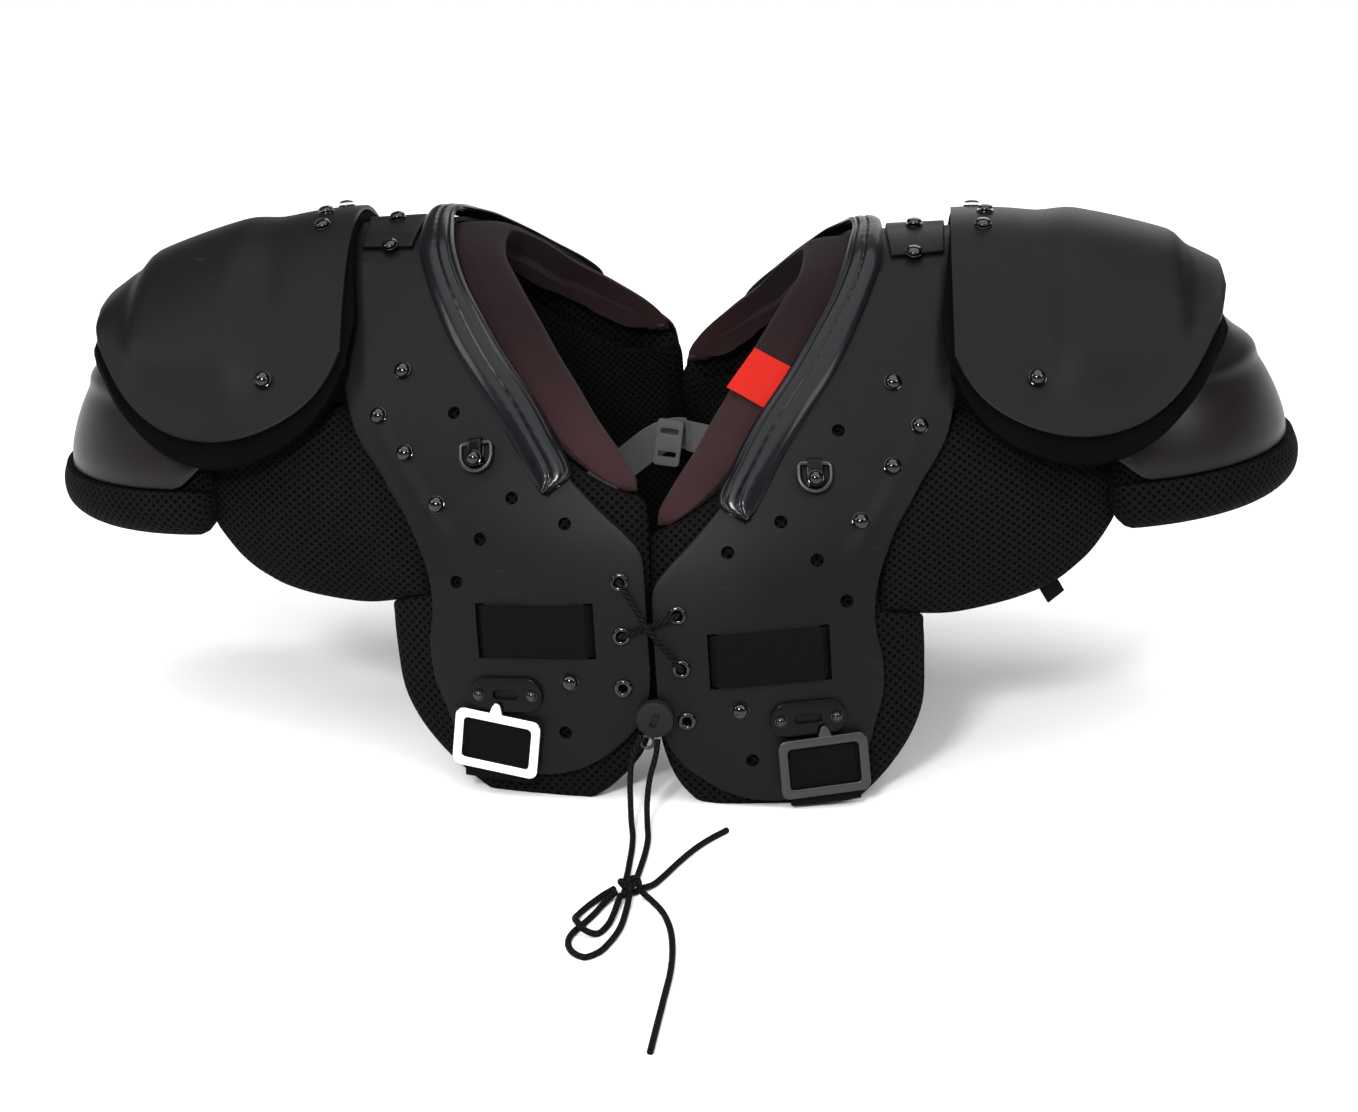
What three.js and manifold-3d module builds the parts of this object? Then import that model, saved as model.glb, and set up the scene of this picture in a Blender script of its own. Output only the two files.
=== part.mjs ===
// Shoulder pads for football: two mirrored halves laced together at the chest
import * as THREE from 'three';
import { mergeVertices } from 'three/addons/utils/BufferGeometryUtils.js';
import Module from 'manifold-3d';

const wasm = await Module();
wasm.setup();

// Driving dimensions of one half, in millimetres and degrees
const shoulderHeight = 265;      // floor line to the crown of the shoulder
const frontDepth = 150;          // crown line forward to the breast plate
const backDepth = 137;           // crown line back to the back plate
const chestRadius = 400;         // roundness of the chest, seen from above
const halfWidth = 325;           // seam to the outside of the shoulder cup
const leanAngle = 4.2;           // both halves lean this much to one side
const leanPivot = { x: 126, z: 90 };
const seatGap = 0.4;             // clearance where one piece sits on another
const plate = { wall: 2.6, holeRadius: 3.2, eyeletRadius: 2.0 };
const arch = { wall: 2.4, sink: 3.4 };
const binding = { wall: 3.0 };
const bridge = { wall: 2.2 };
const bodyPad = { thickness: 19, edge: 5 };
const chestPad = { thickness: 20, edge: 6, swell: 5 };
const neckPad = { thickness: 18, edge: 6, sink: 6.5 };
const flap = { wall: 2.4, centre: 12 };
const liner = { wall: 3.6, hem: 3.4, margin: 1.06, inner: 8 };
const cup = { centreY: 12, radius: 97, depth: 92, wall: 3, sweep: 92, drop: 4.2 };
const cupCentreX = halfWidth - cup.radius;
const cupPad = { sweep: 79, height: 45, width: 33 };
const belt = { width: 37, wall: 2.4, length: 34 };
const tab = { width: 38.5, height: 18, wall: 1.8, slotWidth: 13, slotHeight: 4.4 };
const buckle = { width: 45, height: 31, border: 4.4, wall: 2.2, tilt: 5, tongueWidth: 9, tongueHeight: 9 };
const slotStrap = { width: 60, height: 26, wall: 1.8, slot: 4.6 };
const ring = { wire: 1.2, width: 18.4, height: 16.5 };
const clip = { width: 7, wall: 1.1, drop: 12.2, rivetDrop: 8.4 };
const lace = { radius: 1.5, sides: 8 };
const toggle = { radius: 9.3, wall: 6.5, ringRadius: 3.2, ringWire: 0.9 };
const knot = { width: 13, length: 17, height: 8 };
const backStrap = { width: 19, wall: 1.4, slideWidth: 15, slideHeight: 27, slideWall: 4.6, slideGap: 3 };
const label = { width: 23, height: 27, wall: 0.7 };
const padTab = { width: 11, height: 12, wall: 1.4 };

// Colours and finishes
const black = { plastic: 0x2b2927, gloss: 0x15161a, mesh: 0x141416, cloth: 0x1a1a1c };
const finishes = {
  plastic: new THREE.MeshStandardMaterial({ color: black.plastic, roughness: 0.55, metalness: 0 }),
  cup: new THREE.MeshStandardMaterial({ color: 0x26221f, roughness: 0.35, metalness: 0 }),
  vinyl: new THREE.MeshStandardMaterial({ color: black.gloss, roughness: 0.2, metalness: 0 }),
  mesh: new THREE.MeshStandardMaterial({ color: black.mesh, roughness: 0.95, metalness: 0 }),
  lining: new THREE.MeshStandardMaterial({ color: 0x2c2022, roughness: 0.9, metalness: 0 }),
  webbing: new THREE.MeshStandardMaterial({ color: black.cloth, roughness: 0.9, metalness: 0 }),
  greyWebbing: new THREE.MeshStandardMaterial({ color: 0x6d6e70, roughness: 0.9, metalness: 0 }),
  greyPlastic: new THREE.MeshStandardMaterial({ color: 0x3b3b3d, roughness: 0.5, metalness: 0 }),
  brightMetal: new THREE.MeshStandardMaterial({ color: 0xd4d5d6, roughness: 0.25, metalness: 1 }),
  darkMetal: new THREE.MeshStandardMaterial({ color: 0x4a4b4e, roughness: 0.35, metalness: 1 }),
  red: new THREE.MeshStandardMaterial({ color: 0xb5271f, roughness: 0.7, metalness: 0 }),
  cord: new THREE.MeshStandardMaterial({ color: 0x141414, roughness: 0.85, metalness: 0 }),
};

// Side view of the plates: shares of the front or back depth and of the shoulder height
const sideView = [
  { depth: -1.0, height: -0.06 },
  { depth: -1.0, height: 0 },
  { depth: -0.997, height: 0.19 },
  { depth: -0.973, height: 0.34 },
  { depth: -0.92, height: 0.472 },
  { depth: -0.833, height: 0.585 },
  { depth: -0.713, height: 0.698 },
  { depth: -0.56, height: 0.8 },
  { depth: -0.38, height: 0.893 },
  { depth: -0.2, height: 0.958 },
  { depth: 0, height: 0.993 },
  { depth: 0.15, height: 1.0 },
  { depth: 0.34, height: 0.965 },
  { depth: 0.48, height: 0.89 },
  { depth: 0.59, height: 0.83 },
  { depth: 0.68, height: 0.755 },
  { depth: 0.755, height: 0.66 },
  { depth: 0.82, height: 0.545 },
  { depth: 0.885, height: 0.4 },
  { depth: 0.95, height: 0.24 },
  { depth: 0.99, height: 0.1 },
  { depth: 1.0, height: -0.06 },
];
const bodyPath = new THREE.CatmullRomCurve3(sideView.map((row) => new THREE.Vector3(
  0,
  row.depth * (row.depth < 0 ? frontDepth : backDepth),
  row.height * shoulderHeight,
)), false, 'centripetal');

// Share of the path where it is highest, and where it passes a given height
const crown = 0.5 + [...Array(201).keys()]
  .map((step) => (step - 100) / 400)
  .reduce((best, step) => (bodyPath.getPointAt(0.5 + step).z > bodyPath.getPointAt(0.5 + best).z ? step : best));
function alongAt(height, behind = false) {
  let low = behind ? 1 : 0;
  let high = crown;
  for (let step = 0; step < 24; step += 1) {
    const middle = (low + high) / 2;
    if (bodyPath.getPointAt(middle).z < height) low = middle;
    else high = middle;
  }
  return (low + high) / 2;
}

// A point of the curved body, lifted outwards, and the outward direction there
function outwardAt(x, along) {
  const run = bodyPath.getTangentAt(along);
  return new THREE.Vector3(x / chestRadius * Math.abs(run.z), -run.z, run.y).normalize();
}
function onBody(x, along, lift = 0) {
  const point = bodyPath.getPointAt(along);
  const run = bodyPath.getTangentAt(along);
  const fall = x * x / (2 * chestRadius) * run.z;
  return new THREE.Vector3(x, point.y + fall, point.z).addScaledVector(outwardAt(x, along), lift);
}

// Tables read by a share or a length between their rows
function readRows(rows, key, at) {
  const next = Math.max(1, rows.findIndex((row) => row[key] >= at));
  const last = at > rows[rows.length - 1][key] ? rows.length - 1 : next;
  const [low, high] = [rows[last - 1], rows[last]];
  const share = THREE.MathUtils.clamp((at - low[key]) / (high[key] - low[key]), 0, 1);
  return Object.fromEntries(Object.keys(low).map((name) => [name, low[name] + share * (high[name] - low[name])]));
}

// A closed mesh from points and faces, with its faces turned outwards
function closedMesh(points, faces) {
  const volume = faces.reduce((sum, [a, b, c]) => sum
    + points[a].dot(new THREE.Vector3().crossVectors(points[b], points[c])), 0);
  const turned = volume < 0 ? faces.map(([a, b, c]) => [a, c, b]) : faces;
  const geometry = new THREE.BufferGeometry();
  geometry.setAttribute('position', new THREE.Float32BufferAttribute(points.flatMap((p) => [p.x, p.y, p.z]), 3));
  geometry.setIndex(turned.flat());
  geometry.computeVertexNormals();
  return geometry;
}

// A wall between an outer and an inner grid of points
function wall(rows, columns, pointAt) {
  const points = [];
  for (const side of ['outer', 'inner']) {
    for (let row = 0; row <= rows; row += 1) {
      for (let column = 0; column <= columns; column += 1) points.push(pointAt(row, column, side));
    }
  }
  const layer = (rows + 1) * (columns + 1);
  const at = (row, column, deep) => row * (columns + 1) + column + (deep ? layer : 0);
  const faces = [];
  const quad = (a, b, c, d) => faces.push([a, b, c], [a, c, d]);
  for (let row = 0; row < rows; row += 1) {
    for (let column = 0; column < columns; column += 1) {
      quad(at(row, column), at(row, column + 1), at(row + 1, column + 1), at(row + 1, column));
      quad(at(row, column, 1), at(row + 1, column, 1), at(row + 1, column + 1, 1), at(row, column + 1, 1));
    }
    quad(at(row, 0), at(row + 1, 0), at(row + 1, 0, 1), at(row, 0, 1));
    quad(at(row, columns), at(row, columns, 1), at(row + 1, columns, 1), at(row + 1, columns));
  }
  for (let column = 0; column < columns; column += 1) {
    quad(at(0, column), at(0, column, 1), at(0, column + 1, 1), at(0, column + 1));
    quad(at(rows, column), at(rows, column + 1), at(rows, column + 1, 1), at(rows, column, 1));
  }
  return closedMesh(points, faces);
}

// Joining and cutting
function toSolid(geometry) {
  const bare = geometry.clone();
  bare.deleteAttribute('normal');
  bare.deleteAttribute('uv');
  const merged = mergeVertices(bare, 1e-3);
  return new wasm.Manifold(new wasm.Mesh({
    numProp: 3,
    vertProperties: new Float32Array(merged.attributes.position.array),
    triVerts: new Uint32Array(merged.index.array),
  }));
}
function toGeometry(solid) {
  const mesh = solid.getMesh();
  const geometry = new THREE.BufferGeometry();
  geometry.setAttribute('position', new THREE.BufferAttribute(new Float32Array(mesh.vertProperties), 3));
  geometry.setIndex(new THREE.BufferAttribute(new Uint32Array(mesh.triVerts), 1));
  geometry.computeVertexNormals();
  return geometry;
}
function join(geometry, others) {
  return toGeometry(others.reduce((solid, other) => solid.add(toSolid(other)), toSolid(geometry)));
}
function cut(geometry, others) {
  return toGeometry(others.reduce((solid, other) => solid.subtract(toSolid(other)), toSolid(geometry)));
}

// A frame on the surface: X across, Y up the plate, Z straight out of it
function frameOn(x, along, lift, turn = 0) {
  const out = outwardAt(x, along);
  const across = new THREE.Vector3(1, 0, 0).addScaledVector(out, -out.x).normalize();
  const up = new THREE.Vector3().crossVectors(out, across);
  const matrix = new THREE.Matrix4().makeBasis(across, up, out);
  matrix.multiply(new THREE.Matrix4().makeRotationZ(THREE.MathUtils.degToRad(turn)));
  return matrix.setPosition(onBody(x, along, lift));
}
function setOn(geometry, x, height, lift, turn = 0) {
  return geometry.clone().applyMatrix4(frameOn(x, alongAt(height), lift, turn));
}
function peg(x, along, radius, depth = 8, sides = 6) {
  const geometry = new THREE.CylinderGeometry(radius, radius, depth, sides).rotateX(Math.PI / 2);
  return geometry.applyMatrix4(frameOn(x, along, 0));
}

// Outlines of the plates: heights as shares of the shoulder height, edges as shares of the half width
const frontOutline = [
  { up: 0.032, inner: 0.172, outer: 0.222 },
  { up: 0.04, inner: 0.135, outer: 0.258 },
  { up: 0.057, inner: 0.101, outer: 0.286 },
  { up: 0.083, inner: 0.069, outer: 0.306 },
  { up: 0.121, inner: 0.035, outer: 0.32 },
  { up: 0.166, inner: 0.014, outer: 0.331 },
  { up: 0.219, inner: 0.006, outer: 0.345 },
  { up: 0.287, inner: 0.0055, outer: 0.348 },
  { up: 0.347, inner: 0.0055, outer: 0.34 },
  { up: 0.407, inner: 0.0055, outer: 0.342 },
  { up: 0.453, inner: 0.009, outer: 0.352 },
  { up: 0.487, inner: 0.031, outer: 0.363 },
  { up: 0.525, inner: 0.065, outer: 0.378 },
  { up: 0.558, inner: 0.092, outer: 0.397 },
  { up: 0.592, inner: 0.117, outer: 0.415 },
  { up: 0.66, inner: 0.142, outer: 0.455 },
  { up: 0.755, inner: 0.197, outer: 0.477 },
  { up: 0.849, inner: 0.257, outer: 0.48 },
  { up: 0.9, inner: 0.283, outer: 0.482 },
  { up: 0.94, inner: 0.303, outer: 0.483 },
];
const backOutline = [
  { up: 0.034, inner: 0.172, outer: 0.222 },
  { up: 0.042, inner: 0.135, outer: 0.265 },
  { up: 0.06, inner: 0.098, outer: 0.295 },
  { up: 0.091, inner: 0.062, outer: 0.317 },
  { up: 0.128, inner: 0.031, outer: 0.332 },
  { up: 0.174, inner: 0.012, outer: 0.345 },
  { up: 0.226, inner: 0.006, outer: 0.357 },
  { up: 0.32, inner: 0.0055, outer: 0.36 },
  { up: 0.415, inner: 0.0055, outer: 0.363 },
  { up: 0.475, inner: 0.0055, outer: 0.372 },
  { up: 0.53, inner: 0.0055, outer: 0.382 },
  { up: 0.58, inner: 0.0055, outer: 0.397 },
  { up: 0.625, inner: 0.0055, outer: 0.412 },
  { up: 0.672, inner: 0.012, outer: 0.437 },
  { up: 0.71, inner: 0.04, outer: 0.455 },
  { up: 0.755, inner: 0.08, outer: 0.474 },
  { up: 0.811, inner: 0.129, outer: 0.486 },
  { up: 0.86, inner: 0.167, outer: 0.492 },
  { up: 0.9, inner: 0.202, outer: 0.49 },
  { up: 0.94, inner: 0.242, outer: 0.486 },
];
// The arch and the collar run on over the shoulder: rows of the front, then of the back
const archOutline = [
  { up: 0.9, inner: 0.286, outer: 0.492 },
  { up: 0.94, inner: 0.304, outer: 0.503 },
  { up: 0.965, inner: 0.315, outer: 0.508 },
  { up: 0.985, inner: 0.321, outer: 0.508 },
  { up: 0.999, inner: 0.324, outer: 0.508 },
  { up: 0.985, inner: 0.305, outer: 0.508, behind: true },
  { up: 0.965, inner: 0.277, outer: 0.508, behind: true },
  { up: 0.94, inner: 0.246, outer: 0.505, behind: true },
  { up: 0.9, inner: 0.206, outer: 0.495, behind: true },
];
const collarOutline = [
  { up: 0.56, inner: 0.151, outer: 0.157 },
  { up: 0.592, inner: 0.111, outer: 0.175 },
  { up: 0.66, inner: 0.137, outer: 0.209 },
  { up: 0.717, inner: 0.166, outer: 0.243 },
  { up: 0.792, inner: 0.217, outer: 0.292 },
  { up: 0.849, inner: 0.252, outer: 0.322 },
  { up: 0.906, inner: 0.286, outer: 0.348 },
  { up: 0.951, inner: 0.306, outer: 0.365 },
  { up: 0.985, inner: 0.317, outer: 0.368 },
  { up: 0.998, inner: 0.32, outer: 0.366 },
  { up: 0.985, inner: 0.3, outer: 0.352, behind: true },
  { up: 0.955, inner: 0.257, outer: 0.315, behind: true },
  { up: 0.91, inner: 0.209, outer: 0.272, behind: true },
  { up: 0.87, inner: 0.174, outer: 0.238, behind: true },
  { up: 0.811, inner: 0.124, outer: 0.188, behind: true },
  { up: 0.78, inner: 0.118, outer: 0.145, behind: true },
];
const neckOutline = [
  { up: 0.57, inner: 0.015, outer: 0.034 },
  { up: 0.596, inner: 0.018, outer: 0.076 },
  { up: 0.642, inner: 0.042, outer: 0.128 },
  { up: 0.698, inner: 0.076, outer: 0.172 },
  { up: 0.755, inner: 0.107, outer: 0.209 },
  { up: 0.811, inner: 0.141, outer: 0.246 },
  { up: 0.868, inner: 0.173, outer: 0.283 },
  { up: 0.92, inner: 0.205, outer: 0.33 },
  { up: 0.97, inner: 0.235, outer: 0.36 },
  { up: 0.998, inner: 0.24, outer: 0.37 },
  { up: 0.97, inner: 0.222, outer: 0.345, behind: true },
  { up: 0.92, inner: 0.185, outer: 0.3, behind: true },
  { up: 0.868, inner: 0.143, outer: 0.243, behind: true },
  { up: 0.811, inner: 0.092, outer: 0.19, behind: true },
  { up: 0.755, inner: 0.043, outer: 0.14, behind: true },
  { up: 0.715, inner: 0.02, outer: 0.092, behind: true },
  { up: 0.69, inner: 0.016, outer: 0.048, behind: true },
];
const bodyPadOutline = [
  { up: -0.034, inner: 0.142, outer: 0.228 },
  { up: -0.022, inner: 0.105, outer: 0.271 },
  { up: 0.004, inner: 0.074, outer: 0.305 },
  { up: 0.03, inner: 0.051, outer: 0.332 },
  { up: 0.068, inner: 0.031, outer: 0.363 },
  { up: 0.121, inner: 0.017, outer: 0.394 },
  { up: 0.181, inner: 0.011, outer: 0.414 },
  { up: 0.264, inner: 0.009, outer: 0.42 },
  { up: 0.366, inner: 0.009, outer: 0.4215 },
  { up: 0.376, inner: 0.009, outer: 0.343 },
  { up: 0.453, inner: 0.009, outer: 0.345 },
  { up: 0.521, inner: 0.009, outer: 0.357 },
  { up: 0.553, inner: 0.012, outer: 0.366 },
  { up: 0.574, inner: 0.049, outer: 0.372 },
  { up: 0.604, inner: 0.095, outer: 0.388 },
  { up: 0.649, inner: 0.145, outer: 0.412 },
  { up: 0.706, inner: 0.188, outer: 0.434 },
  { up: 0.762, inner: 0.225, outer: 0.449 },
  { up: 0.819, inner: 0.262, outer: 0.458 },
  { up: 0.86, inner: 0.289, outer: 0.462 },
];
const backPadOutline = [
  { up: -0.034, inner: 0.142, outer: 0.228 },
  { up: -0.022, inner: 0.105, outer: 0.277 },
  { up: 0.004, inner: 0.074, outer: 0.314 },
  { up: 0.03, inner: 0.051, outer: 0.34 },
  { up: 0.068, inner: 0.031, outer: 0.369 },
  { up: 0.121, inner: 0.017, outer: 0.397 },
  { up: 0.181, inner: 0.011, outer: 0.415 },
  { up: 0.264, inner: 0.009, outer: 0.42 },
  { up: 0.366, inner: 0.009, outer: 0.4215 },
  { up: 0.376, inner: 0.009, outer: 0.348 },
  { up: 0.521, inner: 0.009, outer: 0.36 },
  { up: 0.64, inner: 0.009, outer: 0.412 },
  { up: 0.675, inner: 0.018, outer: 0.43 },
  { up: 0.698, inner: 0.078, outer: 0.438 },
  { up: 0.736, inner: 0.133, outer: 0.45 },
  { up: 0.79, inner: 0.182, outer: 0.461 },
  { up: 0.845, inner: 0.235, outer: 0.47 },
  { up: 0.872, inner: 0.262, outer: 0.472 },
];
// The outer chest pad, from the plate outwards: lower and upper edge
const chestPadOutline = [
  { out: 0.3615, low: 0.381, high: 0.52 },
  { out: 0.388, low: 0.379, high: 0.58 },
  { out: 0.4215, low: 0.374, high: 0.634 },
  { out: 0.471, low: 0.357, high: 0.715 },
  { out: 0.523, low: 0.351, high: 0.725 },
  { out: 0.578, low: 0.358, high: 0.717 },
  { out: 0.628, low: 0.373, high: 0.695 },
  { out: 0.671, low: 0.404, high: 0.664 },
  { out: 0.705, low: 0.45, high: 0.62 },
  { out: 0.726, low: 0.498, high: 0.566 },
];
// The shoulder flap, from its inner edge outwards: crest, reach to front and back, hem
const flapRows = [
  { out: 0.477, crest: 1.021, reach: 0.277, hem: 0.812 },
  { out: 0.498, crest: 1.021, reach: 0.3, hem: 0.765 },
  { out: 0.529, crest: 1.019, reach: 0.318, hem: 0.725 },
  { out: 0.578, crest: 1.013, reach: 0.332, hem: 0.69 },
  { out: 0.64, crest: 1.0, reach: 0.338, hem: 0.667 },
  { out: 0.702, crest: 0.983, reach: 0.332, hem: 0.664 },
  { out: 0.763, crest: 0.962, reach: 0.314, hem: 0.682 },
  { out: 0.818, crest: 0.939, reach: 0.284, hem: 0.727 },
  { out: 0.862, crest: 0.913, reach: 0.237, hem: 0.796 },
  { out: 0.889, crest: 0.892, reach: 0.18, hem: 0.846 },
  { out: 0.902, crest: 0.882, reach: 0.098, hem: 0.869 },
];
// The shoulder cup from its top to its rim: share of the radius, height as a share of the shoulder height
const cupRows = [
  { out: 0.25, up: 0.9 },
  { out: 0.43, up: 0.862 },
  { out: 0.61, up: 0.808 },
  { out: 0.71, up: 0.768 },
  { out: 0.8, up: 0.728 },
  { out: 0.885, up: 0.682 },
  { out: 0.95, up: 0.632 },
  { out: 0.99, up: 0.585 },
  { out: 1, up: 0.551 },
];
const cupRim = cupRows.at(-1).up * shoulderHeight;
// Section of the pad under the cup: shares of its width in from the rim and of its height above its foot
const cupPadSection = [
  { in: -0.11, up: 0.59 },
  { in: -0.18, up: 0.42 },
  { in: -0.15, up: 0.22 },
  { in: 0.03, up: 0.07 },
  { in: 0.3, up: 0 },
  { in: 0.58, up: 0.04 },
  { in: 0.76, up: 0.2 },
  { in: 0.82, up: 0.47 },
  { in: 0.76, up: 0.82 },
  { in: 0.52, up: 1 },
  { in: 0.27, up: 0.9 },
  { in: 0.13, up: 0.59 },
];

// Where each fastening sits: across from the seam and up from the floor line
const breast = {
  eyelets: [{ x: 14, z: 107 }, { x: 14.5, z: 80.5 }, { x: 15.5, z: 54 }],
  holes: [{ x: 46.5, z: 31 }, { x: 97, z: 107 }, { x: 83.5, z: 128 }, { x: 40, z: 135 }, { x: 66.5, z: 147 },
    { x: 96, z: 185 }],
  slotStrap: { x: 58, z: 83 },
  tab: { x: 75, z: 51 },
  buckle: { x: 81, z: 26.5 },
  belt: { x: 81, z: 23 },
  ring: { x: 83.5, z: 0.6453 * shoulderHeight },
};

// A band of the body between two edges, given by the rows of an outline
function band(outline, columns, liftAt, behind = false) {
  const stations = outline.map((row) => ({
    along: alongAt(row.up * shoulderHeight, behind || row.behind === true),
    inner: row.inner * halfWidth,
    outer: row.outer * halfWidth,
  }));
  return wall(stations.length - 1, columns, (row, column, side) => {
    const { along, inner, outer } = stations[row];
    const x = inner + (outer - inner) * column / columns;
    return onBody(x, along, liftAt(row / (stations.length - 1), column / columns, side, x));
  });
}
// How full a cushion is across its width or height, from 0 at its edges to 1
function fullness(share) {
  return Math.sqrt(Math.max(0, 1 - Math.abs(2 * share - 1) ** 3));
}
function cushionLift(front, thickness, edge) {
  return (rowShare, columnShare, side) => {
    const full = Math.min(fullness(rowShare), fullness(columnShare));
    const depth = edge + (thickness - edge) * full;
    const sunk = (thickness - edge) / 2 * (1 - full);
    return side === 'outer' ? front - sunk : front - sunk - depth;
  };
}

// Hard shells
function frontPlate() {
  const shell = band(frontOutline, 4, (up, across, side) => (side === 'outer' ? 0 : -plate.wall));
  const slots = [-1, 1].map((end) => setOn(
    new THREE.BoxGeometry(slotStrap.slot, slotStrap.height + 2, 12),
    breast.slotStrap.x + end * (slotStrap.width - slotStrap.slot) / 2, breast.slotStrap.z, 0,
  ));
  const holes = breast.holes.map(({ x, z }) => peg(x, alongAt(z), plate.holeRadius));
  const eyelets = breast.eyelets.map(({ x, z }) => peg(x, alongAt(z), plate.eyeletRadius));
  return cut(shell, [...slots, ...holes, ...eyelets]);
}
function backPlate() {
  return band(backOutline, 3, (up, across, side) => (side === 'outer' ? 0 : -plate.wall), true);
}
function shoulderArch() {
  return band(archOutline, 4, (up, across, side) => -arch.sink - (side === 'outer' ? 0 : arch.wall));
}
function bridgeStrap() {
  const rows = archOutline.slice(2, -2).map((row, index) => ({
    ...row,
    inner: 0.372 + 0.01 * Math.abs(index - 2) / 2,
    outer: 0.466,
  }));
  const seat = -arch.sink + seatGap;
  return band(rows, 2, (up, across, side) => seat + (side === 'outer' ? bridge.wall : 0));
}

// The flap over the shoulder and the softer layer under it
function flapPoint(share, side, depth) {
  const first = flapRows[0].out;
  const last = flapRows[flapRows.length - 1].out;
  const at = (shareOut, sideways) => {
    const out = first + shareOut * (last - first);
    const row = readRows(flapRows, 'out', out);
    const drop = (row.crest - row.hem) * sideways * sideways;
    return new THREE.Vector3(
      out * halfWidth,
      flap.centre + sideways * row.reach * halfWidth,
      (row.crest - drop) * shoulderHeight,
    );
  };
  const step = 0.02;
  const base = THREE.MathUtils.clamp(share, step, 1 - step);
  const outwards = at(base + step, side).sub(at(base - step, side));
  const sideways = at(base, side + step).sub(at(base, side - step));
  const normal = new THREE.Vector3().crossVectors(outwards, sideways).normalize();
  return at(share, side).addScaledVector(normal, -depth);
}
function flapShare(out) {
  return (out - flapRows[0].out) / (flapRows[flapRows.length - 1].out - flapRows[0].out);
}
function shoulderFlap() {
  const stations = flapRows.map((row) => flapShare(row.out));
  return wall(stations.length - 1, 8, (row, column, side) => (
    flapPoint(stations[row], column / 4 - 1, side === 'outer' ? 0 : flap.wall)));
}
function flapLiner() {
  const stations = flapRows.map((row) => row.out);
  const columns = [-liner.margin, -0.75, -0.5, -0.25, 0, 0.25, 0.5, 0.75, liner.margin];
  const under = flap.wall + 2 * seatGap;
  return wall(stations.length - 1, columns.length - 1, (row, column, side) => {
    const across = columns[column];
    const spread = row === 0 ? liner.inner / halfWidth * across * across : 0;
    const depth = under + (side === 'outer' ? 0 : liner.wall + liner.hem * across ** 4);
    return flapPoint(flapShare(stations[row] - spread), across, depth);
  });
}

// The cup that hangs from the flap, and its pad
function cupPoint(angle, out, height) {
  return new THREE.Vector3(
    cupCentreX + out * cup.radius * Math.cos(angle),
    cup.centreY + out * cup.depth * Math.sin(angle),
    height,
  );
}
function shoulderCup() {
  const top = readRows(flapRows, 'out', cupCentreX / halfWidth).crest * shoulderHeight
    - flap.wall - liner.wall - cup.drop;
  const rows = [
    { out: 0.08, height: top },
    ...cupRows.map((row) => ({ out: row.out, height: row.up * shoulderHeight })),
  ];
  const sweep = THREE.MathUtils.degToRad(cup.sweep);
  return wall(rows.length - 1, 10, (row, column, side) => {
    const angle = -sweep + 2 * sweep * column / 10;
    const next = rows[Math.min(row + 1, rows.length - 1)];
    const last = rows[Math.max(row - 1, 0)];
    const slope = Math.atan2((next.out - last.out) * cup.radius, last.height - next.height);
    const inward = side === 'outer' ? 0 : cup.wall / cup.radius * Math.cos(slope);
    const down = side === 'outer' || row === rows.length - 1 ? 0 : cup.wall * Math.sin(slope);
    return cupPoint(angle, Math.max(rows[row].out - inward, 0.04), rows[row].height - down);
  });
}
function shoulderCupPad() {
  const sweep = THREE.MathUtils.degToRad(cupPad.sweep);
  const foot = cupRim - seatGap - 0.59 * cupPad.height;
  const rings = 10;
  const count = cupPadSection.length;
  const points = [];
  for (let step = 0; step <= rings; step += 1) {
    const angle = -sweep + 2 * sweep * step / rings;
    const shrink = step === 0 || step === rings ? 0.7 : 1;
    for (const row of cupPadSection) {
      const inward = 0.32 + (row.in - 0.32) * shrink;
      const up = 0.45 + (row.up - 0.45) * shrink;
      points.push(cupPoint(angle, 1 - inward * cupPad.width / cup.radius, foot + up * cupPad.height));
    }
  }
  const faces = [];
  for (let step = 0; step < rings; step += 1) {
    for (let index = 0; index < count; index += 1) {
      const a = step * count + index;
      const b = step * count + (index + 1) % count;
      faces.push([a, b, b + count], [a, b + count, a + count]);
    }
  }
  for (let index = 1; index < count - 1; index += 1) {
    faces.push([0, index + 1, index]);
    faces.push([rings * count, rings * count + index, rings * count + index + 1]);
  }
  return closedMesh(points, faces);
}

// Soft parts
function chestCushion(behind) {
  const stations = chestPadOutline.map((row) => ({
    x: row.out * halfWidth,
    low: row.low * shoulderHeight,
    high: row.high * shoulderHeight,
  }));
  const covered = stations[3].x;
  return wall(5, stations.length - 1, (row, column, side) => {
    const { x, low, high } = stations[column];
    const along = alongAt(low + (high - low) * row / 5, behind);
    const full = Math.min(fullness(row / 5), fullness(column / (stations.length - 1)));
    const swell = chestPad.swell * THREE.MathUtils.smoothstep(x, covered, covered + 40) * fullness(row / 5);
    const front = -plate.wall - seatGap - (chestPad.thickness - chestPad.edge) / 2 * (1 - full);
    const depth = chestPad.edge + (chestPad.thickness - chestPad.edge) * full;
    return onBody(x, along, side === 'outer' ? front + swell : front - depth);
  });
}
function collarBinding() {
  return band(collarOutline, 2, (up, across, side) => {
    const round = across === 0.5 ? 0 : binding.wall / 4;
    return 2 * seatGap + (side === 'outer' ? binding.wall - round : 0);
  });
}

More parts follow.
